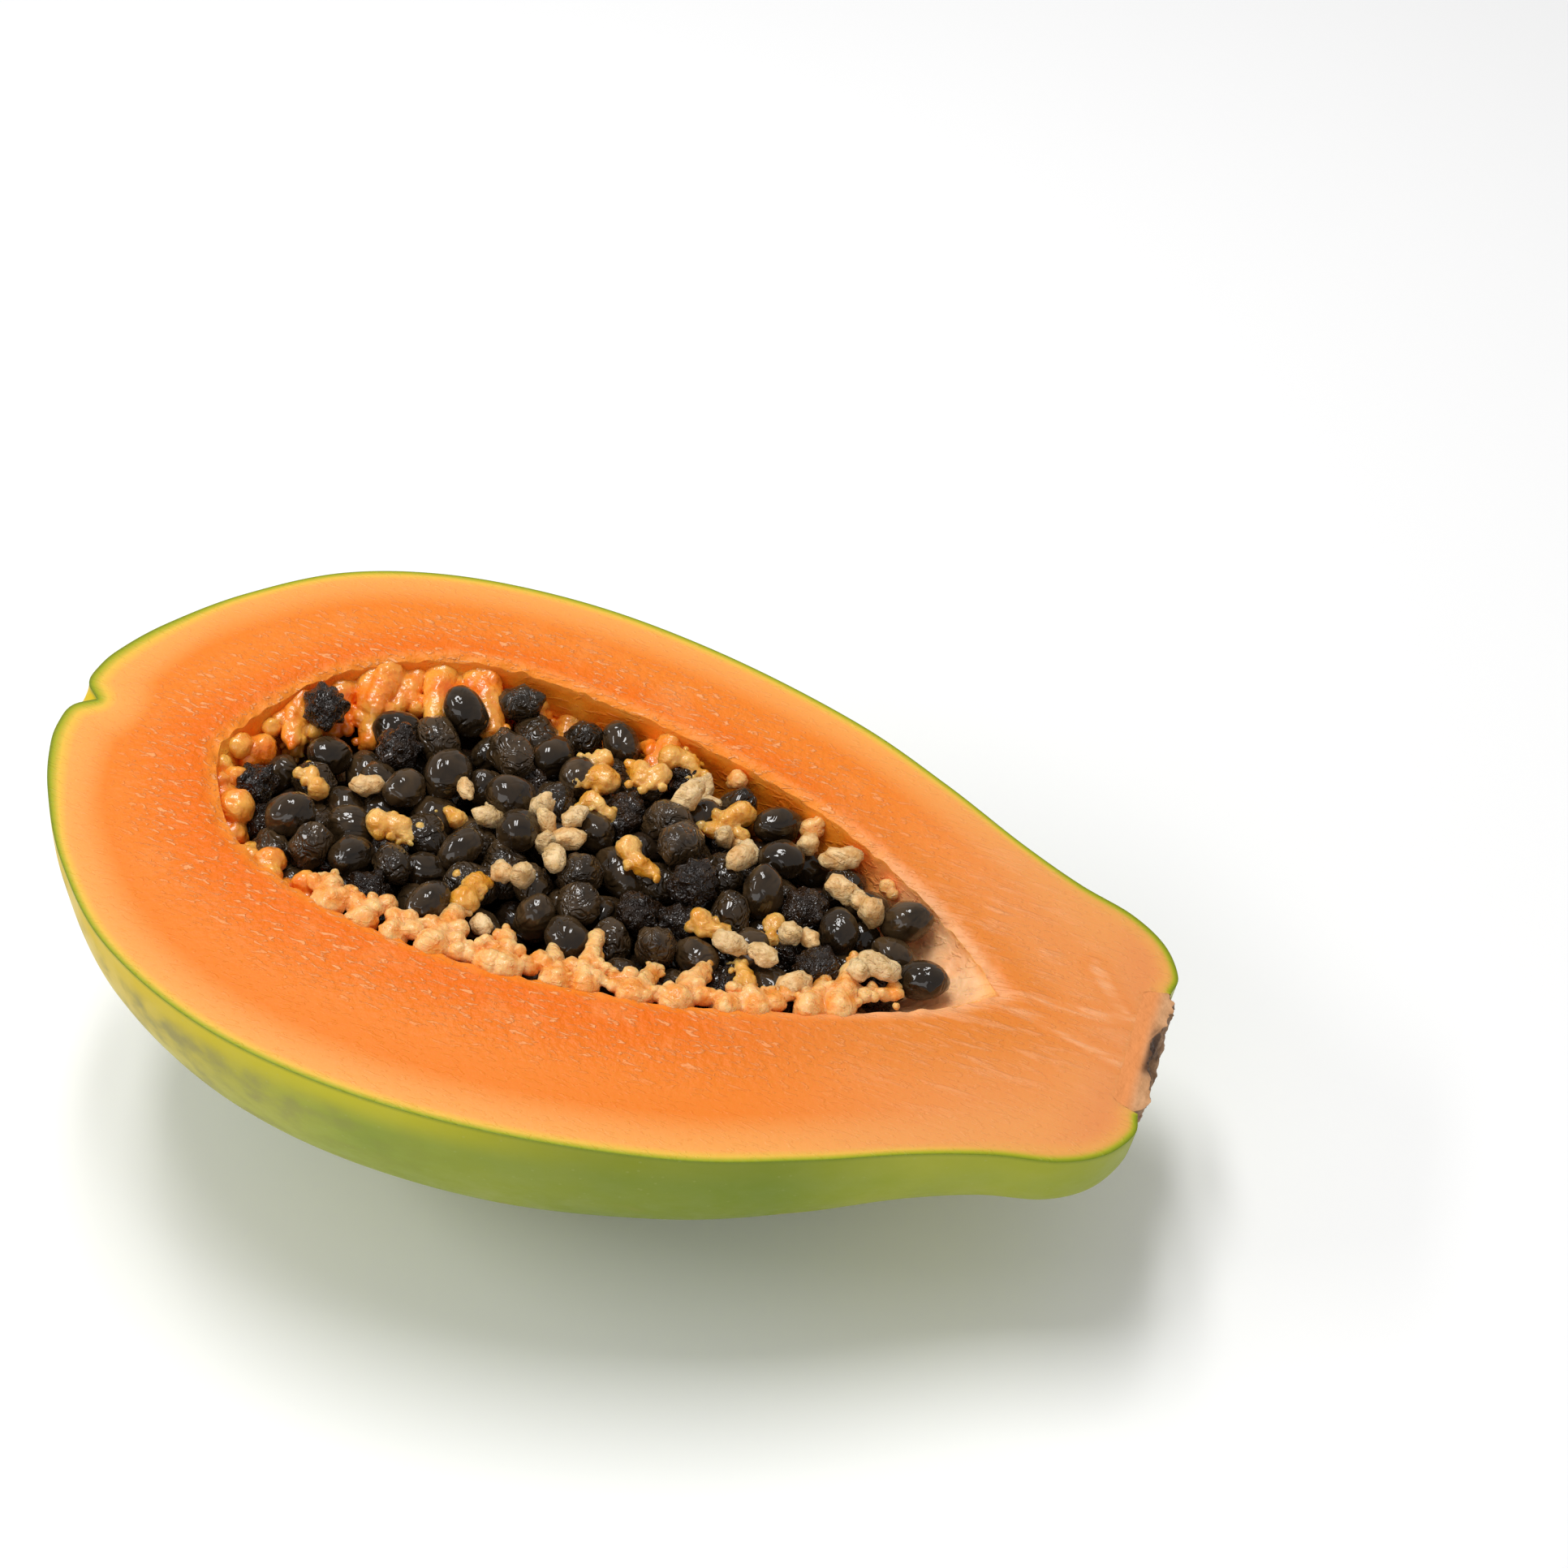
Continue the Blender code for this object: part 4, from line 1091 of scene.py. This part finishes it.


# The stub of the stalk: a corky half disc in its seat at the stalk end, cut by the same knife.
# It is dry and brown, ragged at its end, with a shallow dip in the middle painted near black as the
# shade of a hollow.
STUB_PROFILE = [
    (165.4, 0.0), (165.4, 10.4), (166.2, 10.98), (168.7, 11.62), (170.1, 10.4), (170.4, 6.4),
    (169.2, 3.6), (168.6, 1.4), (168.9, 0.0),
]
STUB_SIDES = 72
STUB_ROWS = 90
FRAYED_FROM = 167.0
LOOSE_FROM = 166.5


def stub_mesh():
    """Half a turn of the profile, closed by the knife cut, its end frayed by noise."""
    profile = spaced(STUB_PROFILE, STUB_ROWS, 0.0)
    points, faces, rows = [], [], []
    for row, (x, radius) in enumerate(profile):
        if row in (0, len(profile) - 1):
            points.append((x, 0.0, 0.0))
            rows.append([len(points) - 1] * (STUB_SIDES + 1))
            continue
        cells = []
        for k in range(STUB_SIDES + 1):
            angle = math.pi * k / STUB_SIDES
            place = Vector((x, radius * math.cos(angle), radius * math.sin(angle))) / 2.2
            frayed = noise.fractal(place, 0.8, 2.1, 3) * 0.8
            frayed *= min(1.0, max(0.0, x - FRAYED_FROM) / 2.0)
            loose = min(1.0, max(0.0, x - LOOSE_FROM) / 2.0)
            ring = radius * (1.0 + 0.03 * loose * noise.noise(place * 1.4))
            down = 0.0 if k in (0, STUB_SIDES) else -ring * math.sin(angle)
            points.append((x + frayed, -ring * math.cos(angle), down))
            cells.append(len(points) - 1)
        rows.append(cells)
    for one, two in zip(rows, rows[1:]):
        faces += strip(one, two)
    faces.append(around(rows))
    flat = np.array(points)
    obj = mesh_object(
        "stalk_stub_wood", lay_down(flat), faces,
        {"depth": -flat[:, 2], "out": flat[:, 0], "spread": np.linalg.norm(flat[:, 1:], axis=1)},
    )
    obj.data.shade_smooth()
    obj.data.set_sharp_from_angle(angle=math.radians(50.0))
    return obj


def stalk_wood():
    made, tree, shader = new_material("stalk_wood", 0.6, Specular_IOR_Level=0.2)
    cloud = object_noise(tree, 500.0, 6.0)
    bark = ramp(
        tree,
        cloud,
        [(0.3, (0.10, 0.05, 0.025)), (0.55, (0.36, 0.20, 0.10)), (0.75, (0.60, 0.38, 0.22))],
    )
    fresh = ramp(tree, cloud, [(0.3, (0.42, 0.20, 0.08)), (0.7, (0.70, 0.38, 0.19))])
    cut = within(tree, attribute(tree, "depth"), 0.35, 0.0)
    colour = mixed(tree, cut, bark, fresh)
    out = attribute(tree, "out")
    foot = both(tree, within(tree, out, 169.2, 166.8), cut)
    colour = mixed(tree, foot, colour, SEAT_FLESH)
    # Painted shade: the shallow dip in the middle of the stub's end is painted near black, as the
    # shade in a hollow
    hollow = both(
        tree, within(tree, attribute(tree, "spread"), 6.0, 3.0), within(tree, out, 167.6, 168.8)
    )
    colour = tint(tree, colour, hollow, 0.9, (0.05, 0.02, 0.01))
    link(tree, colour, shader, "Base Color")
    bumped(tree, shader, cloud, 0.8, 0.0008)
    return made


stub = stub_mesh()
stub.data.materials.append(stalk_wood())
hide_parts("stalk_stub")
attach(stub, "root")


# The studio: a pale floor that runs on out of sight, soft boxes above it, and the camera.
def floor_plane():
    half = 3.0
    corners = [(-half, -half, 0.0), (half, -half, 0.0), (half, half, 0.0), (-half, half, 0.0)]
    obj = mesh_object("floor", corners, [(0, 1, 2, 3)])
    made, _tree, shader = new_material("floor_white", 0.6)
    shader.inputs["Base Color"].default_value = (0.97, 0.97, 0.97, 1.0)
    obj.data.materials.append(made)


def stand(name, data, place, right, up):
    """The lamp or camera at its place, with the two directions of its own right and up."""
    obj = bpy.data.objects.new(name, data)
    turned = Matrix((right, up, right.cross(up).normalized())).transposed().to_4x4()
    obj.matrix_world = Matrix.Translation(place) @ turned
    bpy.context.scene.collection.objects.link(obj)
    return obj


def soft_box(name, place, size, power):
    """An area light that faces the fruit, its width across the camera's view."""
    lamp = bpy.data.lights.new(name, "AREA")
    lamp.shape = "RECTANGLE"
    lamp.size, lamp.size_y = size
    lamp.energy = power
    back = (Vector(place) - FRUIT_MIDDLE).normalized()
    across = (CAMERA_RIGHT - CAMERA_RIGHT.dot(back) * back).normalized()
    stand(name, lamp, place, across, back.cross(across))


floor_plane()
FRUIT_MIDDLE = Vector((0.0, 0.0, 0.04))
CAMERA_RIGHT = Vector((0.95414, 0.29938, 0.0))
WINDOW = Vector((-0.13, 0.13, 0.88))
for side in (-1.0, 1.0):
    soft_box("window_%+d" % side, WINDOW + CAMERA_RIGHT * 0.09 * side, (0.11, 0.42), 2.4)
soft_box("side_window", (-0.62, -0.28, 0.62), (0.10, 0.40), 1.4)
soft_box("front_fill", (-0.25, -0.90, 0.40), (1.0, 0.4), 1.9)

world = bpy.data.worlds.new("studio")
world.use_nodes = True
sky = world.node_tree.nodes["Background"].inputs
sky["Color"].default_value = (1.0, 1.0, 1.0, 1.0)
sky["Strength"].default_value = 0.42
bpy.context.scene.world = world
bpy.context.scene.view_settings.view_transform = "Standard"

# The camera stands at the photograph's angle: its place is counted from the blossom tip
FROM_BLOSSOM_TIP = Vector((0.19075, -0.25397, 0.27826))
CAMERA_UP = Vector((-0.21088, 0.67203, 0.70986))
FOCAL_PIXELS, PHOTO_PIXELS = 3300.0, 1932.0
lens = bpy.data.cameras.new("camera")
lens.sensor_width = 36.0
lens.lens = lens.sensor_width * FOCAL_PIXELS / PHOTO_PIXELS
lens.clip_start = 0.01
place = POSE.translation + FROM_BLOSSOM_TIP
bpy.context.scene.camera = stand("camera", lens, place, CAMERA_RIGHT, CAMERA_UP)
